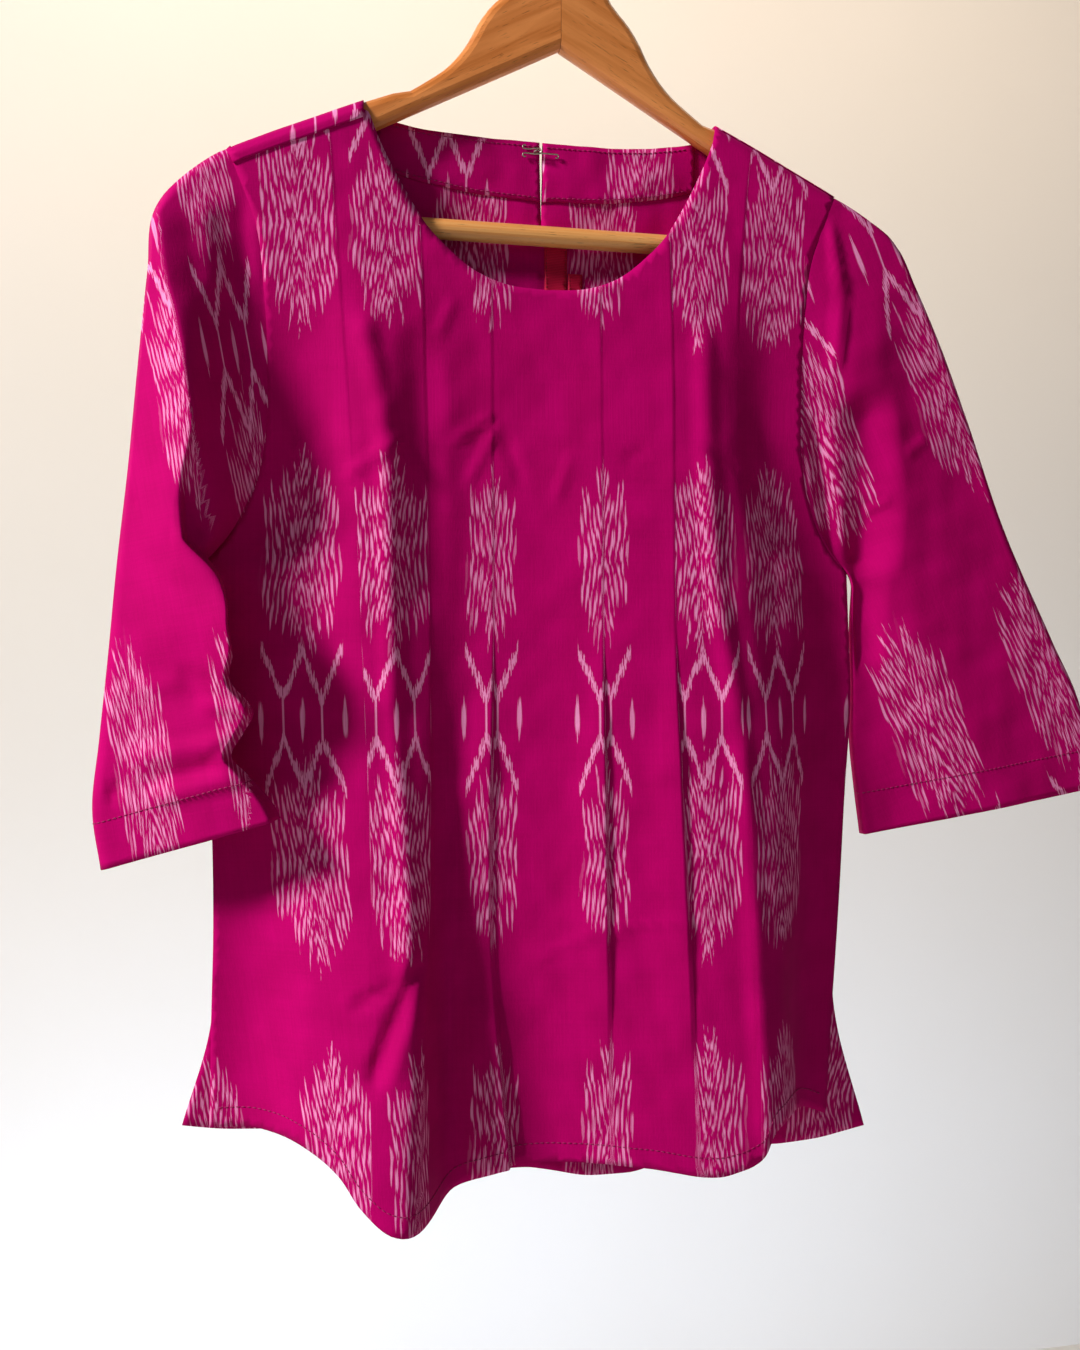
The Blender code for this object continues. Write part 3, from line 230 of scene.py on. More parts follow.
SLEEVE_LEFT = [
    (0.1770, -0.2054, 0.000, 0.1875, -0.4400, 0.000, 0.0086, 0.0008, 0.30, 0.000, 0.50, 0.000, 1.00),
    (0.1890, -0.2115, 0.000, 0.1896, -0.4418, 0.000, 0.0086, 0.0010, 0.35, 0.001, 0.50, 0.001, 0.92),
    (0.2017, -0.2190, 0.000, 0.1904, -0.4460, 0.000, 0.0086, 0.0013, 0.40, 0.003, 0.50, 0.002, 0.80),
    (0.2188, -0.2335, 0.000, 0.1904, -0.4530, 0.001, 0.0086, 0.0016, 0.48, 0.005, 0.50, 0.004, 0.55),
    (0.2310, -0.2560, 0.000, 0.1903, -0.4630, 0.002, 0.0080, 0.0020, 0.55, 0.006, 0.50, 0.006, 0.30),
    (0.2473, -0.2894, 0.000, 0.1904, -0.4760, 0.003, 0.0075, 0.0024, 0.60, 0.006, 0.50, 0.008, 0.12),
    (0.2677, -0.3389, 0.000, 0.1908, -0.4930, 0.003, 0.0070, 0.0028, 0.60, 0.005, 0.50, 0.009, 0.03),
    (0.2933, -0.4062, 0.000, 0.1912, -0.5160, 0.003, 0.0065, 0.0032, 0.58, 0.004, 0.48, 0.010, 0.00),
    (0.3294, -0.4802, 0.000, 0.1912, -0.5460, 0.003, 0.0060, 0.0038, 0.55, 0.004, 0.46, 0.011, 0.00),
    (0.3500, -0.5226, 0.000, 0.1940, -0.5740, 0.002, 0.0055, 0.0042, 0.52, 0.004, 0.45, 0.012, 0.00),
    (0.3573, -0.5770, 0.000, 0.1976, -0.6031, 0.001, 0.0050, 0.0045, 0.50, 0.004, 0.45, 0.012, 0.00)]
SLEEVE_TABLES = {"sleeve_right": SLEEVE_RIGHT, "sleeve_left": SLEEVE_LEFT}

# Spacing of the flat cloth's grid, and the ring counts of a sleeve.
ACROSS = 0.0034
DOWN = 0.0046
ROLL_END = 0.0150
ROLL_STEP = 0.0016
CLOTH_ENDS = (-0.030, ROLL_END, 0.800)
MEASURE_X = 0.002
MEASURE_Z = 0.006
SLEEVE_RINGS = 110
# The turned edges of cuff and hem, and how far their stitches stand off the cloth.
CUFF_TURN = 0.026
HEM_TURN = 0.011
STITCH_OUT = 0.0004

# The ikat's columns are 82 mm apart, and the lower motif's middle is 607 mm below the hook.
COLUMN_PITCH = 0.082
LOWER_MOTIF_DOWN = 0.6075
# The pattern is cut further on over the chest and shoulders, and beyond the sharp sleeve fold.
CHEST_SHIFT = 0.026
FOLD_SHIFT = (0.044, 0.058)
SLEEVE_GRAIN = {  # x and height of a lower motif's middle, lean, scale across, scale down
    "sleeve_right": (-0.2165, -0.3507, 0.18, 1.40, 0.84),
    "sleeve_left": (0.2509, -0.3210, 0.39, 0.89, 0.84)}
FACING_GRAIN = {  # x of a motif's middle, height that lies at the given distance down the cloth
    "right": (-0.0662, -0.2064, 0.5165), "left": (0.0531, -0.1970, 0.4085)}


def smooth(value):
    value = np.clip(value, 0.0, 1.0)
    return value * value * (3 - 2 * value)


def along(rows, at, column=1):
    """A column of a table as a smooth curve of its first column, read at one or many places."""
    rows = np.array(sorted(rows), float)
    x, y = rows[:, 0], rows[:, column]
    slope = np.gradient(y, x)
    at = np.clip(np.asarray(at, float), x[0], x[-1])
    i = np.clip(np.searchsorted(x, at, side="right") - 1, 0, len(x) - 2)
    width = x[i + 1] - x[i]
    u = (at - x[i]) / width
    return (y[i] * (1 + 2 * u) * (1 - u) ** 2 + y[i + 1] * u * u * (3 - 2 * u)
            + width * (slope[i] * u * (1 - u) ** 2 - slope[i + 1] * u * u * (1 - u)))


def flow(points, count):
    """A smooth line through points, at count even steps of its length."""
    points = np.array(points, float)
    step = np.concatenate([[0], np.cumsum(np.linalg.norm(np.diff(points, axis=0), axis=1))])
    at = np.linspace(0, step[-1], count)
    return np.stack([along(list(zip(step, points[:, k])), at) for k in range(points.shape[1])], 1)


def ridge_z(x):
    return along(RIDGE, np.abs(x)) - LEAN * np.asarray(x)


def q_at(x, z):
    """How far down the cloth from the ridge a height is."""
    drop = np.maximum(ridge_z(x) - z, 0)
    return np.where(drop < ROLL, ROLL * np.arccos(1 - np.minimum(drop / ROLL, 1)),
                    drop + ROLL * (math.pi / 2 - 1))


def laid_flat(line):
    """Points (x, z) of the hanging cloth as flat points (x, q)."""
    return np.stack([line[:, 0], q_at(line[:, 0], line[:, 1])], 1)


def roll_over(q):
    """Depth and drop of the cloth at a distance q over the hanger's arm."""
    turn = np.clip(np.asarray(q) / ROLL, -math.pi / 2, math.pi / 2)
    past = np.maximum(np.abs(q) - ROLL * math.pi / 2, 0)
    return ROLL * np.sin(turn), ROLL * (1 - np.cos(turn)) + past


def edge_half(z, side):
    """Half width of the body at a height: the armhole, then the side seam."""
    column = np.where(np.asarray(side) < 0, 1, 2)
    upper = along([(height, half) for half, height in ARMHOLE] + [(-0.20, 0.192)], z)
    lower = np.where(column == 1, along(SIDE, z, 1), along(SIDE, z, 2))
    return np.where(np.asarray(z) > ARMHOLE[-1][1], upper, lower)


def between(x, left, right, low, high):
    """A soft rise from low at left to high at right."""
    u = np.clip((x - left) / np.where(right == left, 1, right - left), 0, 1)
    return low + (high - low) * (1 - np.cos(math.pi * u)) / 2


def sections(x, z):
    """How far the front stands out in its large folds."""
    left_x, left, valley_x, valley, right_x, right = (
        along(FRONT_SECTIONS, z, column) for column in range(1, 7))
    side_left = CENTRE_X - edge_half(z, -1)
    side_right = CENTRE_X + edge_half(z, 1)
    out = between(x, side_left, left_x, 0 * left, left)
    out = np.where(x > left_x, between(x, left_x, valley_x, left, valley), out)
    out = np.where(x > valley_x, between(x, valley_x, right_x, valley, right), out)
    return np.where(x > right_x, between(x, right_x, side_right, right, 0 * right), out)


def tuck_x(tuck, z):
    return along(list(zip(TUCK_HEIGHTS, tuck[0])), z)


def tuck_depth(tuck, z):
    opened = smooth((RELEASE_Z - z) / 0.09)
    hem = smooth((CLOSE_Z - z) / 0.10)
    pressed = tuck[1] * smooth((z - tuck[2]) / 0.03)
    return pressed * (1 - opened) + tuck[3] * opened * (1 - hem) + tuck[4] * hem


def tuck_fall(z):
    """Width of the step at a tuck's edge: pressed thin, and a little wider where it opens."""
    return 0.0008 + 0.0018 * smooth((RELEASE_Z - z) / 0.14)


def tucks(x, z):
    """Six folds that all lie towards +X: a slow rise, then a step down at the fold's edge."""
    out = 0 * x
    opened = smooth((RELEASE_Z - z) / 0.14)
    rise = 0.009 + 0.019 * opened
    fall = tuck_fall(z)
    for tuck in TUCKS:
        u = x - tuck_x(tuck, z)
        shape = np.where(u < 0, smooth(1 + u / rise), 1 - smooth(u / fall))
        out = out + tuck_depth(tuck, z) * shape
    return out


def back_folds(x, z):
    out = 0 * x
    for top, hem, start, narrow, wide, depth in BACK_FOLDS:
        u = np.clip((start - z) / (0.80 + start), 0, 1.1)
        half = narrow + (wide - narrow) * u
        bell = np.cos(np.clip((x - top - (hem - top) * u) / half, -1, 1) * math.pi / 2) ** 2
        out = out + depth * smooth(u) ** 0.8 * bell
    return out


def armhole_shares():
    """Places along the armhole, closer where it rolls over the arm and at the underarm."""
    return np.concatenate([np.linspace(0, 0.0560, 9), np.linspace(0.0560, 1, 96)[1:]])


def armhole_line(side):
    """The armhole from the ridge to the underarm as (x, q)."""
    start = CENTRE_X + side * SHOULDER_HALF
    line = [(start, 0.0)] + [
        (CENTRE_X + side * half, float(q_at(CENTRE_X + side * half, z))) for half, z in ARMHOLE]
    fine = flow(line, 201)
    shares = armhole_shares() * 200
    return np.stack([np.interp(shares, np.arange(201), fine[:, k]) for k in (0, 1)], 1)


def body_side(side, corner):
    """A body panel's side from just below the underarm down to its hem corner, as (x, z)."""
    column = 1 if side < 0 else 2
    rows = [(CENTRE_X + side * row[column], row[0]) for row in SIDE]
    return flow([*rows, corner], 50)


def panel_side(side, seam_q, corner):
    """A panel's edge along the shoulder seam, the armhole and the side, down to its hem corner."""
    armhole = armhole_line(side)
    seam_x = np.interp(abs(seam_q), armhole[:, 1], armhole[:, 0])
    hole = np.vstack([armhole[1:][::-1] * [1, -1], armhole])
    hole = np.vstack([[seam_x, seam_q], hole[hole[:, 1] > seam_q + 0.002]])
    shoulder = np.linspace(CENTRE_X + side * NECK_HALF, seam_x, 20)[:-1]
    shoulder = np.stack([shoulder, shoulder * 0 + seam_q], 1)
    return np.concatenate([shoulder, hole, laid_flat(body_side(side, corner)[1:])])


def front_outline():
    left = panel_side(-1, SEAM_FORWARD[-1], FRONT_HEM[0])
    right = panel_side(1, SEAM_FORWARD[1], FRONT_HEM[-1])
    neck = flow([(CENTRE_X - half, NECK_POINT_Z - depth) for half, depth in NECKLINE], 60)
    neck = np.concatenate([neck, (neck * [-1, 1] + [2 * CENTRE_X, 0])[::-1][1:]])[1:-1]
    neck_line = laid_flat(neck)
    neck_line[:, 1] = np.maximum(neck_line[:, 1], SEAM_FORWARD[-1] * (neck[:, 0] < CENTRE_X))
    return hem_between(left, right, FRONT_HEM, neck_line[neck_line[:, 1] > 0.016])


def hem_between(left, right, hem, neck_line):
    """A panel's closed outline: its left side, the hem, its right side and the neck."""
    return np.concatenate([left, laid_flat(flow(hem, 130)[1:-1]), right[::-1], neck_line[::-1]])


def back_outline():
    left = panel_side(-1, -SEAM_FORWARD[-1] - SEAM_ALLOWANCE, BACK_HEM[0])
    right = panel_side(1, -SEAM_FORWARD[1] - SEAM_ALLOWANCE, BACK_HEM[-1])
    necks = {}
    for side in (-1, 1):
        halves = np.linspace(0.1065, SLIT_HALF, 40)
        necks[side] = np.array([(CENTRE_X + side * half, back_neck_z(half)) for half in halves])
        necks[side][:, 0] += (SLIT_X - CENTRE_X) * np.linspace(0, 1, 40) ** 2
    low = np.linspace(-0.1830, SLIT_END, 40)
    slit = np.stack([SLIT_X - along(SLIT_HALVES, low), low], 1)
    slit = np.concatenate([slit[1:], ((slit - [SLIT_X, 0]) * [-1, 1] + [SLIT_X, 0])[::-1][1:-1]])
    return hem_between(left, right, BACK_HEM, laid_flat(np.concatenate([necks[-1], slit, necks[1][::-1]])))


def back_neck_z(half):
    return float(along(BACK_NECK, half))


def inside_of(points, outline):
    """Which points lie inside a closed outline."""
    found = np.zeros(len(points), bool)
    x, y = points[:, 0], points[:, 1]
    for (x0, y0), (x1, y1) in zip(outline, np.roll(outline, -1, axis=0)):
        crosses = (y0 > y) != (y1 > y)
        at = x0 + (y - y0) * (x1 - x0) / (y1 - y0 if y1 != y0 else 1)
        found ^= crosses & (x < at)
    return found


def distance_to(points, line, closed=True):
    best = np.full(len(points), 1e9)
    ends = np.roll(line, -1, axis=0) if closed else line[1:]
    for a, b in zip(line if closed else line[:-1], ends):
        run = b - a
        u = np.clip(((points - a) @ run) / max(run @ run, 1e-12), 0, 1)
        best = np.minimum(best, np.linalg.norm(points - a - u[:, None] * run, axis=1))
    return best


def stretched_ends(across, down):
    """Where the flat cloth's ends and the end of its roll lie once it is spread out."""
    top, roll_end, low = CLOTH_ENDS
    return (top - roll_end) * across / ROLL_STEP, 0, (low - roll_end) * across / down


def stretch(q, across, down):
    """Spreads the roll over the arm out, so that an even grid is fine there and coarse below."""
    return np.interp(q, CLOTH_ENDS, stretched_ends(across, down))


def unstretch(v, across, down):
    return np.interp(v, stretched_ends(across, down), CLOTH_ENDS)


def divided(line, longest):
    """A closed line with its long edges divided."""
    points = []
    for a, b in zip(line, np.roll(line, -1, axis=0)):
        count = max(1, round(np.linalg.norm(b - a) / longest))
        points += [a + (b - a) * i / count for i in range(count)]
    return np.array(points)


def cut_flat(outline, lines, across, down):
    """Triangles of a flat cloth piece: its outline, the tucks' fold lines and an even grid."""
    shape = np.stack([outline[:, 0], stretch(outline[:, 1], across, down)], 1)
    lines = [np.stack([line[:, 0], stretch(line[:, 1], across, down)], 1) for line in lines]
    shape = divided(shape, across)
    low, high = shape.min(0), shape.max(0)
    grid = []
    for i, v in enumerate(np.arange(low[1], high[1], across * 0.9)):
        x = np.arange(low[0] + (i % 2) * across / 2, high[0], across)
        grid.append(np.stack([x, np.full(len(x), v)], 1))
    grid = np.concatenate(grid)
    grid = grid[inside_of(grid, shape)]
    grid = grid[distance_to(grid, shape) > across * 0.45]
    for line in lines:
        grid = grid[distance_to(grid, line, False) > across * 0.55]
    points = [Vector(p) for p in shape]
    edges = []
    for line in lines:
        line = line[inside_of(line, shape)]
        line = line[distance_to(line, shape) > across * 0.3]
        first = len(points)
        points += [Vector(p) for p in line]
        edges += [(first + i, first + i + 1) for i in range(len(line) - 1)]
    points += [Vector(p) for p in grid]
    border = list(range(len(shape)))
    edges += list(zip(border, border[1:] + border[:1]))
    flat, _, faces, *_ = delaunay_2d_cdt(points, edges, [border], 1, 1e-7)
    flat = np.array([tuple(p) for p in flat])
    flat[:, 1] = unstretch(flat[:, 1], across, down)
    return flat, [tuple(face) for face in faces]


def tuck_lines():
    """Lines close to both edges of each tuck's step, as (x, q), so that the step stays crisp."""
    lines = []
    heights = np.arange(-0.183, -0.79, -0.005)
    fall = tuck_fall(heights)
    for tuck in TUCKS:
        for shift in (-0.0012 + 0 * fall, 0 * fall, fall, fall + 0.0012):
            lines.append(laid_flat(np.stack([tuck_x(tuck, heights) + shift, heights], 1)))
    return lines


def crease_out(table, x, z):
    """How far the listed creases stand out at (x, z)."""
    out = 0 * x
    for x0, z0, x1, z1, half, depth in table:
        run = np.array([x1 - x0, z1 - z0])
        length = np.linalg.norm(run)
        u = ((x - x0) * run[0] + (z - z0) * run[1]) / length ** 2
        held = np.clip(u, 0, 1)
        away = np.hypot(x - x0 - held * run[0], z - z0 - held * run[1])
        fade = smooth((u + 0.15) / 0.35) * smooth((1.15 - u) / 0.35)
        out = out + depth * fade * (1 - smooth(away / half))
    return out


def slack(x, z, seed, height=0.00035):
    """The small unevenness of worn cotton: a few soft waves in seeded directions."""
    draw = np.random.default_rng(seed)
    out = 0 * x
    for wave in (0.016, 0.024, 0.038, 0.060):
        for _ in range(3):
            turn = draw.uniform(0, math.pi)
            shift = draw.uniform(0, 2 * math.pi)
            out = out + wave / 0.038 * np.sin(
                2 * math.pi * (x * math.cos(turn) + z * math.sin(turn)) / wave + shift)
    return height * out / 3


def front_fall(x, z):
    return sections(x, z) + tucks(x, z) + crease_out(CREASES["front"], x, z) + slack(x, z, 3)


def back_fall(x, z):
    return (back_folds(x, z) + 0.010 * smooth((-0.3 - z) / 0.5)
            + crease_out(CREASES["back"], x, z) + slack(x, z, 5, 0.0006))


def drape(x, q, face, inward=0.0):
    """Points of the front (face -1) or back (face +1) cloth from flat coordinates."""
    x, q = np.asarray(x, float), np.asarray(q, float)
    roll, drop = roll_over(q)
    z = ridge_z(x) - drop
    rel = x - CENTRE_X
    room = edge_half(z, np.sign(rel)) - np.abs(rel)
    inside = smooth(room / SIDE_BLEND)
    pinched = smooth((PINCH_Z - z) / 0.095)
    parted = smooth((VENT_Z - z) / 0.08)
    edge = 1 - pinched * (1 - (SIDE_DEPTH / ROLL) * (1 + 8 * parted))
    fall = front_fall(x, z) if face < 0 else back_fall(x, z)
    depth = roll * (edge + (1 - edge) * inside) + fall * smooth(q / 0.05) * inside
    points = np.stack([x, face * depth, z], axis=-1)
    if np.any(inward):
        step = 1e-4
        a = drape(x + step, q, face) - drape(x - step, q, face)
        b = drape(x, q + step, face) - drape(x, q - step, face)
        normal = np.cross(a, b)
        normal /= np.linalg.norm(normal, axis=-1, keepdims=True)
        normal *= np.where(normal[..., 1:2] < 0, -1, 1)
        points = points - np.asarray(inward)[..., None] * face * normal
    return points


def flat_down(x, q):
    """Distance down the cloth from the hook's height, in metres."""
    return -ridge_z(x) + q - ROLL * (math.pi / 2 - 1)


def flat_across(x, z, fall):
    """Distance across the flat cloth from its middle, with what the tucks and folds take up."""
    xs = np.arange(-0.235, 0.216, MEASURE_X)
    zs = np.arange(-0.84, -0.12, MEASURE_Z)
    grid_x, grid_z = np.meshgrid(xs, zs)
    rel = grid_x - CENTRE_X
    inside = smooth((edge_half(grid_z, np.sign(rel)) - np.abs(rel)) / SIDE_BLEND)
    out = sections(grid_x, grid_z) * inside if fall is front_fall else fall(grid_x, grid_z) * inside
    steps = np.hypot(np.diff(grid_x, axis=1), np.diff(out, axis=1))
    lengths = np.concatenate([np.zeros((len(zs), 1)), np.cumsum(steps, axis=1)], axis=1)
    middle = round((CENTRE_X - xs[0]) / MEASURE_X)
    lengths -= lengths[:, middle:middle + 1]
    i = np.clip((x - xs[0]) / MEASURE_X, 0, len(xs) - 1.001)
    k = np.clip((z - zs[0]) / MEASURE_Z, 0, len(zs) - 1.001)
    i0, k0 = i.astype(int), k.astype(int)
    u, v = i - i0, k - k0
    across = ((lengths[k0, i0] * (1 - u) + lengths[k0, i0 + 1] * u) * (1 - v)
              + (lengths[k0 + 1, i0] * (1 - u) + lengths[k0 + 1, i0 + 1] * u) * v)
    for tuck in TUCKS if fall is front_fall else []:
        past = smooth((x - tuck_x(tuck, z)) / tuck_fall(z))
        across = across + tuck[5] * (past if tuck[0][2] > CENTRE_X else past - 1)
    return across


def mesh_object(name, points, faces, finish):
    mesh = bpy.data.meshes.new(name)
    mesh.from_pydata([tuple(p) for p in points], [], faces)
    mesh.materials.append(finish)
    made = bpy.data.objects.new(name, mesh)
    bpy.context.scene.collection.objects.link(made)
    return made


def cloth_piece(name, points, faces, cut, thick, cotton, even=True):
    """A cloth shell with its flat cloth coordinates as the UV map that the ikat reads."""
    piece = mesh_object(name, points, faces, cotton)
    mesh = piece.data
    corner = np.empty(len(mesh.loops), np.int32)
    mesh.loops.foreach_get("vertex_index", corner)
    mesh.uv_layers.new(name="cut").uv.foreach_set("vector", np.asarray(cut, float)[corner].ravel())
    mesh.shade_smooth()
    shell = piece.modifiers.new("Shell", "SOLIDIFY")
    shell.thickness = thick
    shell.offset = 0
    shell.use_even_offset = even
    return piece


def dress(piece, node):
    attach(piece, "root")
    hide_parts(node)


def panel(name, outline, face, lines, cotton):
    flat, faces = cut_flat(outline, lines, ACROSS, DOWN)
    if face < 0:
        faces = [tuple(reversed(triangle)) for triangle in faces]
    x, q = flat[:, 0], flat[:, 1]
    tucked = 0 * x
    if face > 0:
        seam = np.where(x < CENTRE_X, -SEAM_FORWARD[-1], -SEAM_FORWARD[1])
        tucked = 0.0008 * smooth((seam + 0.002 - q) / 0.002)
    points = drape(x, q, face, inward=tucked)
    z = points[:, 2]
    across = flat_across(x, z, front_fall if face < 0 else back_fall)
    down = flat_down(x, q) + CHEST_SHIFT * smooth((z + 0.365) / 0.04)
    return cloth_piece(name, points, faces, np.stack([across, down], 1), SHELL, cotton)


def sleeve_profile(row, w, width):
    """Depth of one wall of a sleeve section at a share w of its width."""
    outer = np.sqrt(1 - (1 - np.clip(w * width / row["outer_round"], 0, 1)) ** 2)
    inner = np.sqrt(1 - (1 - np.clip((1 - w) * width / row["inner_round"], 0, 1)) ** 2)
    body = row["outer_round"] + (row["inner_round"] - row["outer_round"]) * smooth((w - 0.4) / 0.6)
    tip = 0.9 * row["inner_round"]
    return (tip + (body - tip) * inner) * outer


def fold_bell(w, at, sharp=1.0):
    u = np.where(w < at, w / at, (1 - w) / (1 - at))
    return smooth(u) ** sharp


def fold_place(z):
    return along(SLEEVE_FOLD[::-1], z)


def sleeve_fold(x, z):
    """How far the sharp fold stands out: a tent with a slightly rounded edge."""
    place, out, outer, inner = (along(SLEEVE_FOLD[::-1], z, column) for column in (1, 2, 3, 4))
    u = x - place
    down = np.hypot(np.where(u < 0, -u / outer, u / inner), 0.03) - 0.03
    return out * np.clip(1 - down, 0, 1)


def clear_of_body(points, face):
    """Moves sleeve points forward where they would lie inside the body's outline."""
    x, z = points[:, 0], points[:, 2]
    rel = x - CENTRE_X
    beyond = np.abs(rel) - edge_half(z, np.sign(rel)) - BODY_CLEAR
    front = -drape(x, q_at(x, z), -1)[:, 1]
    limit = np.where(beyond < 0, -(front + WALL + BODY_CLEAR), -(0.00075 + WALL) + 1.5 * beyond)
    limit = limit - (WALL + BODY_CLEAR) * (face < 0)
    y = np.where(z < -0.35, np.minimum(points[:, 1], limit), points[:, 1])
    return np.stack([x, y, z], 1)


def armhole_ring(side, w, gap):
    """The armhole's edge on the front and back cloth, moved out of the seam by gap."""
    armhole = armhole_line(side)
    x, q = armhole[:, 0], armhole[:, 1]
    ring = {}
    for face in (-1, 1):
        points = drape(x, q, face)
        ahead = np.gradient(points, axis=0)
        out = np.cross(ahead, [0, 1, 0])
        out /= np.maximum(np.linalg.norm(out, axis=1, keepdims=True), 1e-9)
        out *= np.sign(side * out[:, :1] + 1e-9)
        top = w < 0.02
        out[top] = np.array([side, 0, -0.5]) / math.sqrt(1.25)
        ring[face] = points + out * np.asarray(gap)[:, None]
    return ring


def sleeve_swell(row, w, face, side):
    """How far a sleeve's wide, soft fold stands out of one wall, at shares w of its width."""
    if face > 0:
        return row["back_out"] * fold_bell(w, row["back_at"], 1.5)
    if side > 0:
        return row["fold_out"] * fold_bell(w, row["fold_at"], 1.2)
    # On the image-left sleeve it moves inwards below the shoulder, past the sharp fold.
    moved = smooth((-0.22 - row["outer_z"]) / 0.10)
    peak = row["fold_at"] + (0.93 - row["fold_at"]) * moved
    return row["fold_out"] * (0.35 + 0.20 * moved) * fold_bell(w, peak)


def crumple(points, w, face, calm, freed):
    """Gives the image-left sleeve its sharp fold and zigzag inner edge, clear of the body."""
    if face < 0:
        # One column of points lies right on the fold, which keeps it sharp.
        off = fold_place(points[:, 2]) - points[:, 0]
        nearest = np.argmin(np.abs(off) + 9 * ((w < 0.04) | (w > 0.9)))
        if abs(off[nearest]) < 0.003:
            points[:, 0] += off[nearest] * np.clip(1 - np.abs(np.arange(len(w)) - nearest) / 4, 0, 1)
        points[:, 1] -= calm * sleeve_fold(points[:, 0], points[:, 2])
    edge = freed * smooth((w - 0.55) / 0.45)
    points[:, 1] -= edge * along(EDGE_AHEAD[::-1], points[:, 2])
    points[:, 0] += edge * along(EDGE_ZIGZAG[::-1], points[:, 2])
    points += freed * (clear_of_body(points, face) - points)


def sleeve_wall(name, side, face, row, hole, w, share):
    """One wall of a sleeve section at a share of the way from the armhole to the cuff."""
    outer, inner = (np.array([row[end + axis] for axis in ("_x", "_y", "_z")]) for end in ("outer", "inner"))
    if abs(outer[0]) < 0.222:
        outer[2] = max(outer[2], ridge_z(outer[0]))
    width = np.linalg.norm((outer - inner)[[0, 2]])
    depth = sleeve_profile(row, w, width) + sleeve_swell(row, w, face, side)
    points = outer + (inner - outer) * w[:, None] + np.stack([0 * w, face * depth, 0 * w], 1)
    bend = hole - (hole[0] + (hole[-1] - hole[0]) * w[:, None])
    fading = 1 + 4 * smooth((w[:, None] - 0.55) / 0.45)
    points = points + bend * [1, 0, 1] * max(row["bow"], 0) ** fading
    points = hole + (points - hole) * smooth(share / 0.09) if share else hole.copy()
    calm = smooth(share / 0.06) * smooth(np.minimum(w, 1 - w) / 0.05)
    x, z = points[:, 0], points[:, 2]
    creases = crease_out(CREASES[name if face < 0 else name + "_behind"], x, z)
    points[:, 1] += face * calm * (creases + slack(x, z, 7 + face))
    if side < 0:
        crumple(points, w, face, calm, smooth((share - 0.04) / 0.08))
    return points


def sleeve_points(name, side):
    """Rings of a sleeve from its seam allowance to its cuff, each closed round front and back."""
    rows = np.array(SLEEVE_TABLES[name], float)
    station = np.concatenate([[0], np.cumsum(np.linalg.norm(np.diff(rows[:, [0, 1]], axis=0), axis=1)
                                             + np.linalg.norm(np.diff(rows[:, [3, 4]], axis=0), axis=1))])
    at = np.linspace(0, 1, SLEEVE_RINGS) ** 1.35 * station[-1]
    columns = {key: along(list(zip(station, rows[:, k])), at) for k, key in enumerate(SLEEVE_COLUMNS)}
    w = armhole_shares()
    hole = armhole_ring(side, w, ARMHOLE_GAP + UNDERARM_GAP * smooth((w - 0.25) / 0.35))
    allowance = armhole_ring(side, w, 0 * w - 0.004)
    tuck_in = np.array([0, 1, 0]) * 0.0007
    found = [np.concatenate([allowance[-1] + tuck_in, (allowance[1] - tuck_in)[::-1][:-1]])]
    for k in range(SLEEVE_RINGS):
        row = {key: float(values[k]) for key, values in columns.items()}
        front, back = (sleeve_wall(name, side, face, row, hole[face], w, at[k] / station[-1])
                       for face in (-1, 1))
        found.append(np.concatenate([front, back[::-1][:-1]]))
    return np.array(found)


def cuff_line(rings):
    """The cuff's row of stitches runs all round, where its turned edge ends."""
    reach = np.linalg.norm(rings - rings[-1], axis=2)
    line = np.array([[np.interp(CUFF_TURN, reach[::-1, i], rings[::-1, i, k]) for k in range(3)]
                     for i in range(rings.shape[1])])
    out = np.cross(np.roll(line, -1, 0) - np.roll(line, 1, 0), rings[-1] - line)
    out /= np.linalg.norm(out, axis=1, keepdims=True)
    out *= np.sign((out * (line - line.mean(0))).sum())
    return np.concatenate([line, line[:1]]) + STITCH_OUT * np.concatenate([out, out[:1]])


def tube(name, side, rings, cotton):
    """A sleeve's shell through its rings, with the pattern of its own cut."""
    count = rings.shape[1]
    faces = []
    for k in range(len(rings) - 1):
        for i in range(count):
            j = (i + 1) % count
            quad = (k * count + i, k * count + j, (k + 1) * count + j, (k + 1) * count + i)
            faces.append(quad if side < 0 else tuple(reversed(quad)))
    points = rings.reshape(-1, 3)
    anchor_x, anchor_z, lean, scale_across, scale_down = SLEEVE_GRAIN[name]
    x, z = points[:, 0] - anchor_x, points[:, 2] - anchor_z
    across = (x * math.cos(lean) + z * math.sin(lean)) * scale_across
    down = (x * math.sin(lean) - z * math.cos(lean)) * scale_down
    if side < 0:
        folded = (points[:, 0] > fold_place(points[:, 2])) & (points[:, 1] < 0)
        across = across - FOLD_SHIFT[0] * folded
        down = down - FOLD_SHIFT[1] * folded
    cut = np.stack([across + COLUMN_PITCH / 2, down + LOWER_MOTIF_DOWN], 1)
    return cloth_piece(name + "_cloth", points, faces, cut, SHELL, cotton, even=False)


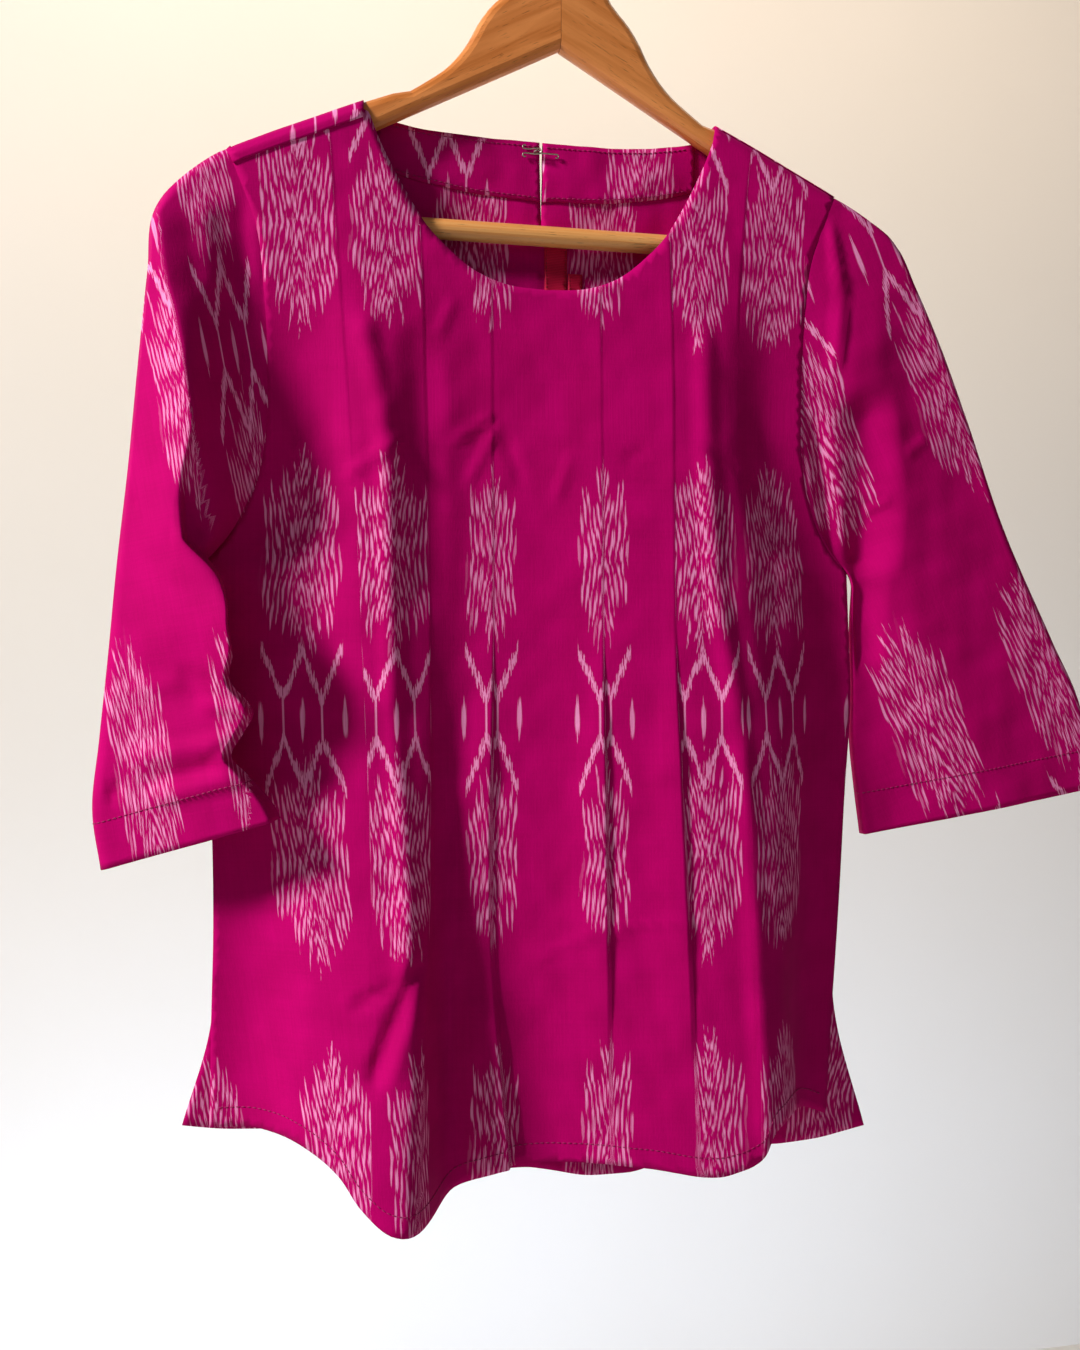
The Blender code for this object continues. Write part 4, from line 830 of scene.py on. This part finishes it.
def facing_outline(side):
    """One half of the back neck facing, from the slit to behind the hanger's arm."""
    start = SLIT_X + side * (SLIT_HALF + FACING_OFF_SLIT)
    end = CENTRE_X + side * 0.0980
    top = np.linspace(start, end, 40)
    upper = np.array([(x, back_neck_z(abs(x - CENTRE_X)) - 0.0004) for x in top])
    lower = np.array([(x, float(along(FACING_LOW, abs(x - SLIT_X)))) for x in top])
    beside = np.linspace(lower[0, 1], upper[0, 1], 12)[1:-1]
    edge = np.stack([SLIT_X + side * (along(SLIT_HALVES, beside) + FACING_OFF_SLIT), beside], 1)
    lower[0, 0] = SLIT_X + side * (along(SLIT_HALVES, lower[0, 1]) + FACING_OFF_SLIT)
    return laid_flat(np.concatenate([upper, lower[::-1], edge]))


def label_outline(x, top, width, height):
    corners = [(x - width / 2, top), (x - width / 2, top - height),
               (x + width / 2, top - height), (x + width / 2, top)]
    line = []
    for a, b in zip(corners, corners[1:] + corners[:1]):
        steps = 16 if abs(b[1] - a[1]) > 0.02 else 6
        line += [tuple(np.array(a) + (np.array(b) - np.array(a)) * i / steps) for i in range(steps)]
    return laid_flat(np.array(line))


def lining_piece(name, outline, away, cut_of, cotton, thick):
    """A thin piece on the inside of the back cloth, made from its points, moved in."""
    flat, faces = cut_flat(outline, [], 0.0030, 0.0036)
    points = drape(flat[:, 0], flat[:, 1], 1, inward=away)
    return cloth_piece(name, points, faces, cut_of(points), thick, cotton)


def stitch(ends, width):
    """One stitch as the points of its four rings, six round the thread in each."""
    ahead = ends[1] - ends[0]
    ahead /= np.linalg.norm(ahead)
    up = np.cross(ahead, [0, 1, 0])
    up /= max(np.linalg.norm(up), 1e-9)
    out = np.cross(ahead, up)
    points = []
    for share, size in ((0.0, 0.35), (0.3, 1.0), (0.7, 1.0), (1.0, 0.35)):
        centre = ends[0] + (ends[1] - ends[0]) * share
        for turn in range(6):
            angle = math.pi * turn / 3
            points.append(centre + width * size * (up * math.cos(angle) + out * math.sin(angle)))
    return points


def stitch_row(name, line, thread, length=0.0024, gap=0.0008, width=0.00032):
    """Machine stitches along a line of points: short plump threads that dip at both ends."""
    line = np.asarray(line, float)
    run = np.concatenate([[0], np.cumsum(np.linalg.norm(np.diff(line, axis=0), axis=1))])
    points, faces = [], []
    for start in np.arange(0, run[-1] - length, length + gap):
        ends = np.stack([np.interp([start, start + length], run, line[:, k]) for k in range(3)], 1)
        first = len(points)
        points += stitch(ends, width)
        for a in range(first, first + 18):
            b = a + 1 if (a - first) % 6 < 5 else a - 5
            faces.append((a, b, b + 6, a + 6))
        faces.append(tuple(first + i for i in range(5, -1, -1)))
        faces.append(tuple(first + 18 + i for i in range(6)))
    piece = mesh_object(name, points, faces, thread)
    piece.data.shade_smooth()
    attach(piece, "root")
    return piece


def hem_stitches(name, hem, left, right, count, face, thread):
    """A row of stitches above the turned hem, from one side vent to the other."""
    x = np.linspace(left, right, count)
    line = flow(hem, count)
    z = np.interp(x, line[:, 0], line[:, 1]) + HEM_TURN
    return stitch_row(name, on_cloth(x, z, face, STITCH_OUT), thread)


def linear(colour):
    """An sRGB hex colour as the linear colour that a shader takes."""
    parts = [int(colour[i:i + 2], 16) / 255 for i in (1, 3, 5)]
    return (*(p / 12.92 if p <= 0.04045 else ((p + 0.055) / 1.055) ** 2.4 for p in parts), 1.0)


def feed(tree, made, feeds):
    """Feeds a node's named inputs, each from a socket or with a value."""
    for key, given in feeds.items():
        if isinstance(given, bpy.types.NodeSocket):
            tree.links.new(given, made.inputs[key])
        else:
            made.inputs[key].default_value = given


def node(tree, kind, feeds=None, out=0, **settings):
    """Adds a node with its settings and what feeds it, and gives one of its outputs."""
    made = tree.nodes.new("ShaderNode" + kind)
    for key, value in settings.items():
        setattr(made, key, value)
    feed(tree, made, feeds or {})
    return made.outputs[out]


def shader_of(name):
    """A new material's node tree and its shader node."""
    made = bpy.data.materials.new(name)
    made.use_nodes = True
    return made, made.node_tree, made.node_tree.nodes["Principled BSDF"]


def worked_out(tree, sums, known):
    """Runs a table of sums (name, operation, inputs) as math nodes; names stand for sockets."""
    for name, operation, *inputs in sums:
        feeds = {i: known.get(value, value) for i, value in enumerate(inputs)}
        known[name] = node(tree, "Math", feeds, operation=operation)
    return known


# The ikat's drawing on the flat cloth, in millimetres, down from the hook's height.
IKAT_SUMS = [
    ("column_at", "DIVIDE", "s", "pitch"),
    ("column", "FLOOR", "column_at"),
    ("column_share", "SUBTRACT", "column_at", "column"),
    ("from_axis", "SUBTRACT", "column_share", 0.5),
    ("side", "SIGN", "from_axis"),
    ("off_axis", "ABSOLUTE", "from_axis"),
    ("u", "MULTIPLY", "off_axis", "pitch"),
    ("down", "ADD", "t", "jitter"),
    ("shifted", "SUBTRACT", "down", 373.5),
    ("turned", "FLOORED_MODULO", "shifted", 335.0),
    ("phase", "SUBTRACT", "turned", 60.0),
    ("second", "GREATER_THAN", "phase", 87.0),
    ("to_second", "MULTIPLY", "second", 174.0),
    ("v", "SUBTRACT", "phase", "to_second"),
    ("a", "ABSOLUTE", "v"),
    # Dashes lie along lines 3.3 mm apart that lean out away from the motif's middle.
    ("lean", "MULTIPLY", "a", 0.30),
    ("side_share", "MULTIPLY_ADD", "u", -0.030, 1.0),
    ("lean_here", "MULTIPLY", "lean", "side_share"),
    ("leant", "SUBTRACT", "u", "lean_here"),
    ("wavy", "ADD", "leant", "wobble"),
    ("line_at", "DIVIDE", "wavy", 3.3),
    ("line", "FLOOR", "line_at"),
    ("line_share", "SUBTRACT", "line_at", "line"),
    ("off_line", "SUBTRACT", "line_share", 0.5),
    ("across", "ABSOLUTE", "off_line"),
    ("seed_a", "MULTIPLY_ADD", "column", 37.7, "line"),
    ("seed_b", "MULTIPLY_ADD", "side", 11.3, "seed_a"),
    ("seed", "MULTIPLY_ADD", "second", 101.9, "seed_b")]
DASH_SUMS = [
    ("dash_length", "MULTIPLY_ADD", "chance", 9.0, 16.0),
    ("dash_at", "DIVIDE", "v", "dash_length"),
    ("dash_moved", "MULTIPLY_ADD", "chance", 7.3, "dash_at"),
    ("dash_floor", "FLOOR", "dash_moved"),
    ("dash_share", "SUBTRACT", "dash_moved", "dash_floor"),
    ("dash_turn", "MULTIPLY", "dash_share", math.pi),
    ("dash_sine", "SINE", "dash_turn"),
    ("dash_plump", "POWER", "dash_sine", 0.9),
    ("dash_width", "MULTIPLY", "dash_plump", 0.27),
    ("dash_room", "SUBTRACT", "dash_width", "across"),
    ("dash_ink", "MULTIPLY_ADD", "dash_room", 5.5, 0.30),
    # The motif: a long hexagon 46 by 114 mm, of whole dashes, so both its ends are spiky.
    ("dash_back", "MULTIPLY_ADD", "chance", -7.3, "dash_floor"),
    ("dash_middle", "ADD", "dash_back", 0.5),
    ("middle_v", "MULTIPLY", "dash_middle", "dash_length"),
    ("middle_a", "ABSOLUTE", "middle_v"),
    ("line_u", "MULTIPLY_ADD", "line", 3.3, 1.65),
    ("middle_lean", "MULTIPLY_ADD", "middle_a", 0.30, "line_u"),
    ("spread", "MULTIPLY_ADD", "middle_a", 0.0090, 1.0),
    ("middle_u", "DIVIDE", "middle_lean", "spread"),
    ("to_tip", "SUBTRACT", 55.0, "middle_a"),
    ("to_point", "SUBTRACT", "to_tip", "middle_u"),
    ("to_side", "SUBTRACT", 22.6, "middle_u"),
    ("motif_in", "MINIMUM", "to_point", "to_side"),
    ("dash", "MINIMUM", "dash_ink", "motif_in"),
    # The net below the first motif: a W, two thin stems and an M, with spindles between.
    ("n", "SUBTRACT", "phase", 56.0),
    ("from_leg", "SUBTRACT", "u", 11.2),
    ("leg", "ABSOLUTE", "from_leg"),
    ("w_rise", "MULTIPLY_ADD", "leg", -2.4, 27.0),
    ("w_off", "SUBTRACT", "n", "w_rise"),
    ("w_far", "ABSOLUTE", "w_off"),
    ("w_ink", "SUBTRACT", 3.6, "w_far"),
    ("m_fall", "MULTIPLY_ADD", "leg", 2.4, 50.0),
    ("m_off", "SUBTRACT", "n", "m_fall"),
    ("m_far", "ABSOLUTE", "m_off"),
    ("m_ink", "SUBTRACT", 3.6, "m_far"),
    ("wm_ink", "MAXIMUM", "w_ink", "m_ink"),
    ("wm_side", "SUBTRACT", 23.5, "u"),
    ("wm_in", "MULTIPLY", "wm_side", 2.0),
    ("wm", "MINIMUM", "wm_ink", "wm_in"),
    ("stem_thin", "SUBTRACT", 0.75, "leg"),
    ("stem_ink", "MULTIPLY", "stem_thin", 2.2),
    ("from_stem", "SUBTRACT", "n", 38.5),
    ("stem_far", "ABSOLUTE", "from_stem"),
    ("stem_room", "SUBTRACT", 12.0, "stem_far"),
    ("stem", "MINIMUM", "stem_ink", "stem_room"),
    ("from_edge", "SUBTRACT", "u", 24.0),
    ("edge_far", "ABSOLUTE", "from_edge"),
    ("spindle_off", "MINIMUM", "u", "edge_far"),
    ("spindle_run", "DIVIDE", "stem_far", 13.0),
    ("spindle_sq", "POWER", "spindle_run", 2.0),
    ("spindle_half", "MULTIPLY_ADD", "spindle_sq", -1.7, 1.7),
    ("spindle_room", "SUBTRACT", "spindle_half", "spindle_off"),
    ("spindle", "MULTIPLY", "spindle_room", 1.6),
    ("net_a", "MAXIMUM", "wm", "stem"),
    ("net", "MAXIMUM", "net_a", "spindle"),
    ("pale", "MAXIMUM", "dash", "net")]


def streaks(tree, place, across, down, detail):
    """Soft noise on the flat cloth, drawn out along the warp or the weft."""
    scaled = node(tree, "Mapping", {"Vector": place, "Scale": (across, down, 1)})
    return node(tree, "TexNoise", {"Vector": scaled, "Scale": 1.0, "Detail": detail},
                noise_dimensions="2D")


def ikat_cotton():
    """Hand-woven cotton, its warp tied and dyed before weaving: a dry, matt, slightly slubby
    magenta with pale streaks that slip thread by thread, so that every edge is feathered."""
    made, tree, shader = shader_of("ikat_cotton")
    uv = node(tree, "UVMap", uv_map="cut")
    cut = node(tree, "SeparateXYZ", {"Vector": uv}).node
    known = {"pitch": 1000 * COLUMN_PITCH}
    known["s"] = node(tree, "Math", {0: cut.outputs[0], 1: 1000.0}, operation="MULTIPLY")
    known["t"] = node(tree, "Math", {0: cut.outputs[1], 1: 1000.0}, operation="MULTIPLY")
    # Warp threads 0.4 mm apart slip up to 3 mm against each other in the dye bath.
    thread = node(tree, "Math", {0: known["s"], 1: 0.4}, operation="SNAP")
    slip = node(tree, "TexWhiteNoise", {"W": thread}, noise_dimensions="1D")
    known["jitter"] = node(tree, "MapRange", {"Value": slip, "To Min": -3.2, "To Max": 3.2})
    place = node(tree, "CombineXYZ", {"X": known["s"], "Y": known["t"]})
    bends = streaks(tree, place, 0.09, 0.05, 1.0)
    known["wobble"] = node(tree, "MapRange", {"Value": bends, "To Min": -1.5, "To Max": 1.5})
    worked_out(tree, IKAT_SUMS, known)
    known["chance"] = node(tree, "TexWhiteNoise", {"W": known["seed"]}, noise_dimensions="1D")
    worked_out(tree, DASH_SUMS, known)
    inked = node(tree, "MapRange", {"Value": known["pale"], "From Max": 1.0})
    # Bright and dull warp threads, and slow bands across where the shuttle's beat changed.
    warp = streaks(tree, place, 1.1, 0.012, 3.0)
    weft = streaks(tree, place, 0.02, 0.9, 3.0)
    patchy = node(tree, "TexNoise", {"Vector": place, "Scale": 0.035, "Detail": 2.0},
                  noise_dimensions="2D")
    tone = node(tree, "Math", {0: warp, 1: 0.5, 2: patchy}, operation="MULTIPLY_ADD")
    tone_all = node(tree, "Math", {0: weft, 1: 0.35, 2: tone}, operation="MULTIPLY_ADD")
    ground = node(tree, "MapRange", {"Value": tone_all, "From Min": 0.35, "From Max": 1.5})
    dyed = node(tree, "Mix", {"Factor": ground, 6: linear("#B00062"), 7: linear("#CC0077")},
                out=2, data_type="RGBA")
    broken = node(tree, "MapRange", {"Value": warp, "From Min": 0.25, "From Max": 0.6, "To Min": 0.62})
    pale = node(tree, "Math", {0: inked, 1: broken}, operation="MULTIPLY")
    colour = node(tree, "Mix", {"Factor": pale, 6: dyed, 7: linear("#FA9FDA")}, out=2, data_type="RGBA")
    # Threads 0.4 mm apart are too fine to show, so the weave's relief is drawn 0.9 mm wide.
    relief_warp = streaks(tree, place, 1.1, 0.18, 2.0)
    relief_weft = streaks(tree, place, 0.18, 1.1, 2.0)
    relief = node(tree, "Math", {0: relief_warp, 1: relief_weft}, operation="ADD")
    bump = node(tree, "Bump", {"Strength": 0.35, "Distance": 0.0002, "Height": relief})
    feed(tree, shader, {
        "Base Color": colour, "Normal": bump, "Roughness": 0.78, "Specular IOR Level": 0.04,
        "Sheen Weight": 0.02, "Sheen Roughness": 0.45, "Sheen Tint": linear("#F7B8DE")})
    return made


def varnished_wood(name, lean, early, late, grain_width, gloss):
    """Planed hardwood under clear varnish: warm, with darker lengthwise grain and small pores,
    and a soft gloss that breaks a little over the grain."""
    made, tree, shader = shader_of(name)
    place = node(tree, "TexCoord", out=3)
    turned = node(tree, "Mapping", {"Vector": place, "Rotation": (0, lean, 0)})
    # Year rings 4 to 9 mm apart run along the piece, and pores about 0.4 mm wide are 8 mm long.
    rings = node(tree, "Mapping", {"Vector": turned, "Scale": (12, 90, 1 / grain_width)})
    ring_noise = node(tree, "TexNoise", {"Vector": rings, "Scale": 1.0, "Detail": 4.0, "Distortion": 0.6})
    pores = node(tree, "Mapping", {"Vector": turned, "Scale": (110, 1900, 1900)})
    pore_noise = node(tree, "TexNoise", {"Vector": pores, "Scale": 1.0, "Detail": 2.0})
    cloud = node(tree, "TexNoise", {"Vector": turned, "Scale": 22.0, "Detail": 2.0})
    band = node(tree, "MapRange", {"Value": ring_noise, "From Min": 0.38, "From Max": 0.66})
    mixed = node(tree, "Mix", {"Factor": band, 6: linear(early), 7: linear(late)}, out=2, data_type="RGBA")
    blotch = node(tree, "MapRange", {"Value": cloud, "From Min": 0.35, "From Max": 0.7, "To Max": 0.35})
    warm = node(tree, "Mix", {"Factor": blotch, 6: mixed, 7: linear(late)}, out=2, data_type="RGBA")
    speck = node(tree, "MapRange", {"Value": pore_noise, "From Min": 0.64, "From Max": 0.72, "To Max": 0.55})
    colour = node(tree, "Mix", {"Factor": speck, 6: warm, 7: linear("#5A3312")}, out=2, data_type="RGBA")
    bump = node(tree, "Bump", {"Strength": 0.25, "Distance": 0.0003, "Height": ring_noise})
    feed(tree, shader, {"Base Color": colour, "Normal": bump, "Roughness": gloss,
                        "Coat Weight": 0.25, "Coat Roughness": 0.22})
    return made


def drawn_steel(name, colour, roughness):
    """Zinc-plated steel wire: grey, with fine lengthwise drawing marks that spread its gloss."""
    made, tree, shader = shader_of(name)
    place = node(tree, "TexCoord", out=3)
    marks = node(tree, "TexNoise", {"Vector": place, "Scale": 900.0, "Detail": 3.0})
    rough = node(tree, "MapRange", {"Value": marks, "To Min": roughness - 0.08, "To Max": roughness + 0.12})
    tone = node(tree, "MapRange", {"Value": marks, "From Min": 0.3, "From Max": 0.7})
    mixed = node(tree, "Mix", {"Factor": tone, 6: linear(colour), 7: linear("#B9B6AE")},
                 out=2, data_type="RGBA")
    feed(tree, shader, {"Base Color": mixed, "Roughness": rough, "Metallic": 1.0})
    return made


def woven_ribbon(name):
    """Red polyester ribbon, woven in a fine satin: a slight crosswise rib and a soft sheen."""
    made, tree, shader = shader_of(name)
    uv = node(tree, "UVMap", uv_map="cut")
    # Ribs 0.5 mm apart, drawn as one wave along the ribbon's length.
    ribs = node(tree, "TexWave", {"Vector": uv, "Scale": 318.0, "Distortion": 1.2, "Detail": 2.0},
                bands_direction="Y", wave_type="BANDS", out=1)
    tone = node(tree, "Mix", {"Factor": ribs, 6: linear("#C01240"), 7: linear("#DC1C52")},
                out=2, data_type="RGBA")
    bump = node(tree, "Bump", {"Strength": 0.3, "Distance": 0.0001, "Height": ribs})
    feed(tree, shader, {"Base Color": tone, "Normal": bump, "Roughness": 0.6,
                        "Specular IOR Level": 0.12})
    return made


def sewing_thread(name, colour, other):
    """Spun polyester thread: matt, twisted every 0.7 mm, so lighter and darker turns alternate."""
    made, tree, shader = shader_of(name)
    place = node(tree, "TexCoord", out=3)
    twist = node(tree, "TexNoise", {"Vector": place, "Scale": 1400.0, "Detail": 1.0})
    tone = node(tree, "Mix", {"Factor": twist, 6: linear(colour), 7: linear(other)}, out=2, data_type="RGBA")
    feed(tree, shader, {"Base Color": tone, "Roughness": 0.7})
    return made


def painted_wall(name, colour, other):
    """Matt wall paint, with the faint clouding that a roller leaves."""
    made, tree, shader = shader_of(name)
    place = node(tree, "TexCoord", out=3)
    cloud = node(tree, "TexNoise", {"Vector": place, "Scale": 1.1, "Detail": 3.0})
    tone = node(tree, "Mix", {"Factor": cloud, 6: linear(colour), 7: linear(other)}, out=2, data_type="RGBA")
    feed(tree, shader, {"Base Color": tone, "Roughness": 0.95})
    return made


def stage_sheet(name, corners, paint):
    mesh_object(name, corners, [(0, 1, 2, 3)], paint)


def soft_light(name, place, towards, width, height, watts, colour):
    data = bpy.data.lights.new(name, "AREA")
    data.shape = "RECTANGLE"
    data.size = width
    data.size_y = height
    data.energy = watts
    data.color = linear(colour)[:3]
    lamp = bpy.data.objects.new(name, data)
    lamp.location = place
    lamp.rotation_euler = (Vector(towards) - Vector(place)).to_track_quat("-Z", "Y").to_euler()
    bpy.context.scene.collection.objects.link(lamp)


def on_cloth(x, z, face, out):
    """Points just outside the body's cloth, or inside where out is negative."""
    x, z = np.asarray(x, float), np.asarray(z, float)
    return drape(x, q_at(x, z), face, inward=np.zeros(x.shape) - out)


# The camera and the daylight of a large window at the left.
view = bpy.data.cameras.new("camera")
view.sensor_width = 36
view.lens = 38.3
camera = bpy.data.objects.new("camera", view)
camera.location = (-0.207, -0.835, -0.503)
camera.rotation_euler = (math.pi / 2, 0, -math.atan2(0.228, 0.974))
bpy.context.scene.collection.objects.link(camera)
bpy.context.scene.camera = camera

soft_light("window", (-3.05, -1.05, 1.55), (0.0, 0.0, -0.45), 0.60, 0.70, 185, "#FFF8F0")
soft_light("room", (-0.7, -2.6, 0.2), (0.0, 0.0, -0.5), 1.6, 1.6, 3.6, "#FFF4EA")
soft_light("wall_wash_high", (0.7, 1.30, 1.7), (0.9, 2.4, -0.2), 3.4, 0.6, 30, "#FFE4C8")
soft_light("wall_wash_low", (0.5, 1.20, -2.1), (0.8, 2.4, -1.3), 3.4, 0.6, 34, "#CFE1FF")
world = bpy.data.worlds.new("daylight")
world.use_nodes = True
world.node_tree.nodes["Background"].inputs["Color"].default_value = linear("#E4E4E4")
world.node_tree.nodes["Background"].inputs["Strength"].default_value = 0.085
bpy.context.scene.world = world
bpy.context.scene.view_settings.view_transform = "Standard"
wall = painted_wall("wall_paint", "#E4E1DA", "#EBE9E4")
stage_sheet("wall", [(-6, 2.4, -2.2), (6, 2.4, -2.2), (6, 2.4, 3.5), (-6, 2.4, 3.5)], wall)
stage_sheet("floor", [(-6, -4, -2.2), (6, -4, -2.2), (6, 2.4, -2.2), (-6, 2.4, -2.2)], wall)

cotton = ikat_cotton()
magenta_thread = sewing_thread("magenta_thread", "#8E0052", "#B3136F")
red_thread = sewing_thread("red_thread", "#6E0A1A", "#9A1528")

front_row = hem_stitches("front_hem_stitches", FRONT_HEM, -0.199, 0.166, 240, -1, magenta_thread)
back_row = hem_stitches("back_hem_stitches", BACK_HEM, -0.212, 0.194, 260, 1, magenta_thread)
front = panel("front_cloth", front_outline(), -1, tuck_lines(), cotton)
dress(front, "front")
back = panel("back_cloth", back_outline(), 1, [], cotton)
dress(back, "back")
for name, side in (("sleeve_right", -1), ("sleeve_left", 1)):
    rings = sleeve_points(name, side)
    sleeve = tube(name, side, rings, cotton)
    row = stitch_row(name + "_cuff_stitches", cuff_line(rings), magenta_thread)
    dress(sleeve, name)

for name, side in (("right", -1), ("left", 1)):
    anchor_x, anchor_z, anchor_down = FACING_GRAIN[name]
    piece = lining_piece(
        f"neck_facing_{name}_cloth", facing_outline(side), SHELL / 2 + 0.0005 + FACING_THICK / 2,
        lambda p: np.stack([p[:, 0] - anchor_x + COLUMN_PITCH / 2, anchor_z - p[:, 2] + anchor_down], 1),
        cotton, FACING_THICK)
    x = np.linspace(SLIT_X + side * 0.003, CENTRE_X + side * 0.094, 120)
    rows = [
        stitch_row(f"facing_{name}_{edge}_stitches", on_cloth(x, z, 1, -0.0016), magenta_thread)
        for edge, z in (("upper", along(BACK_NECK, np.abs(x - CENTRE_X)) - 0.003),
                        ("lower", along(FACING_LOW, np.abs(x - SLIT_X)) + 0.0022))]
    dress(piece, f"neck_facing_{name}")

ribbon = woven_ribbon("red_ribbon")
for name, x, high, width, height in LABELS:
    piece = lining_piece(name + "_ribbon", label_outline(x, high, width, height), SHELL / 2 + 0.0007,
                         lambda p: p[:, [0, 2]], ribbon, RIBBON_THICK)
    z = np.linspace(high - 0.0012, high - height + 0.001, 40)
    rows = [stitch_row(f"{name}_{edge}_stitches", on_cloth(0 * z + x + shift, z, 1, -0.0013), red_thread,
                       0.0016, 0.0008, 0.00018)
            for edge, shift in (("left", 0.0011 - width / 2), ("right", width / 2 - 0.0011))]
    dress(piece, name)

woods = {
    "hanger_arm_right": varnished_wood("varnished_arm_right", 0.50, "#F29C58", "#D27C3A", 0.006, 0.38),
    "hanger_arm_left": varnished_wood("varnished_arm_left", -0.50, "#F39F5B", "#D47F3C", 0.006, 0.38),
    # The bar's colours are lighter than the arms': painted light that stands in for the daylight falling on
    # the bar.
    "hanger_bar": varnished_wood("varnished_bar_painted_lighter", 0.0, "#FFC078", "#F2A45A", 0.0012, 0.30)}
steels = {
    "hanger_hook": drawn_steel("plated_wire", "#8F8C86", 0.28),
    "neck_eye": drawn_steel("catch_wire_eye", "#A9A59C", 0.3),
    "neck_hook": drawn_steel("catch_wire_hook", "#A9A59C", 0.3)}
for name, finish in {**woods, **steels}.items():
    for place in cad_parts[name].material_slots:
        place.material = finish
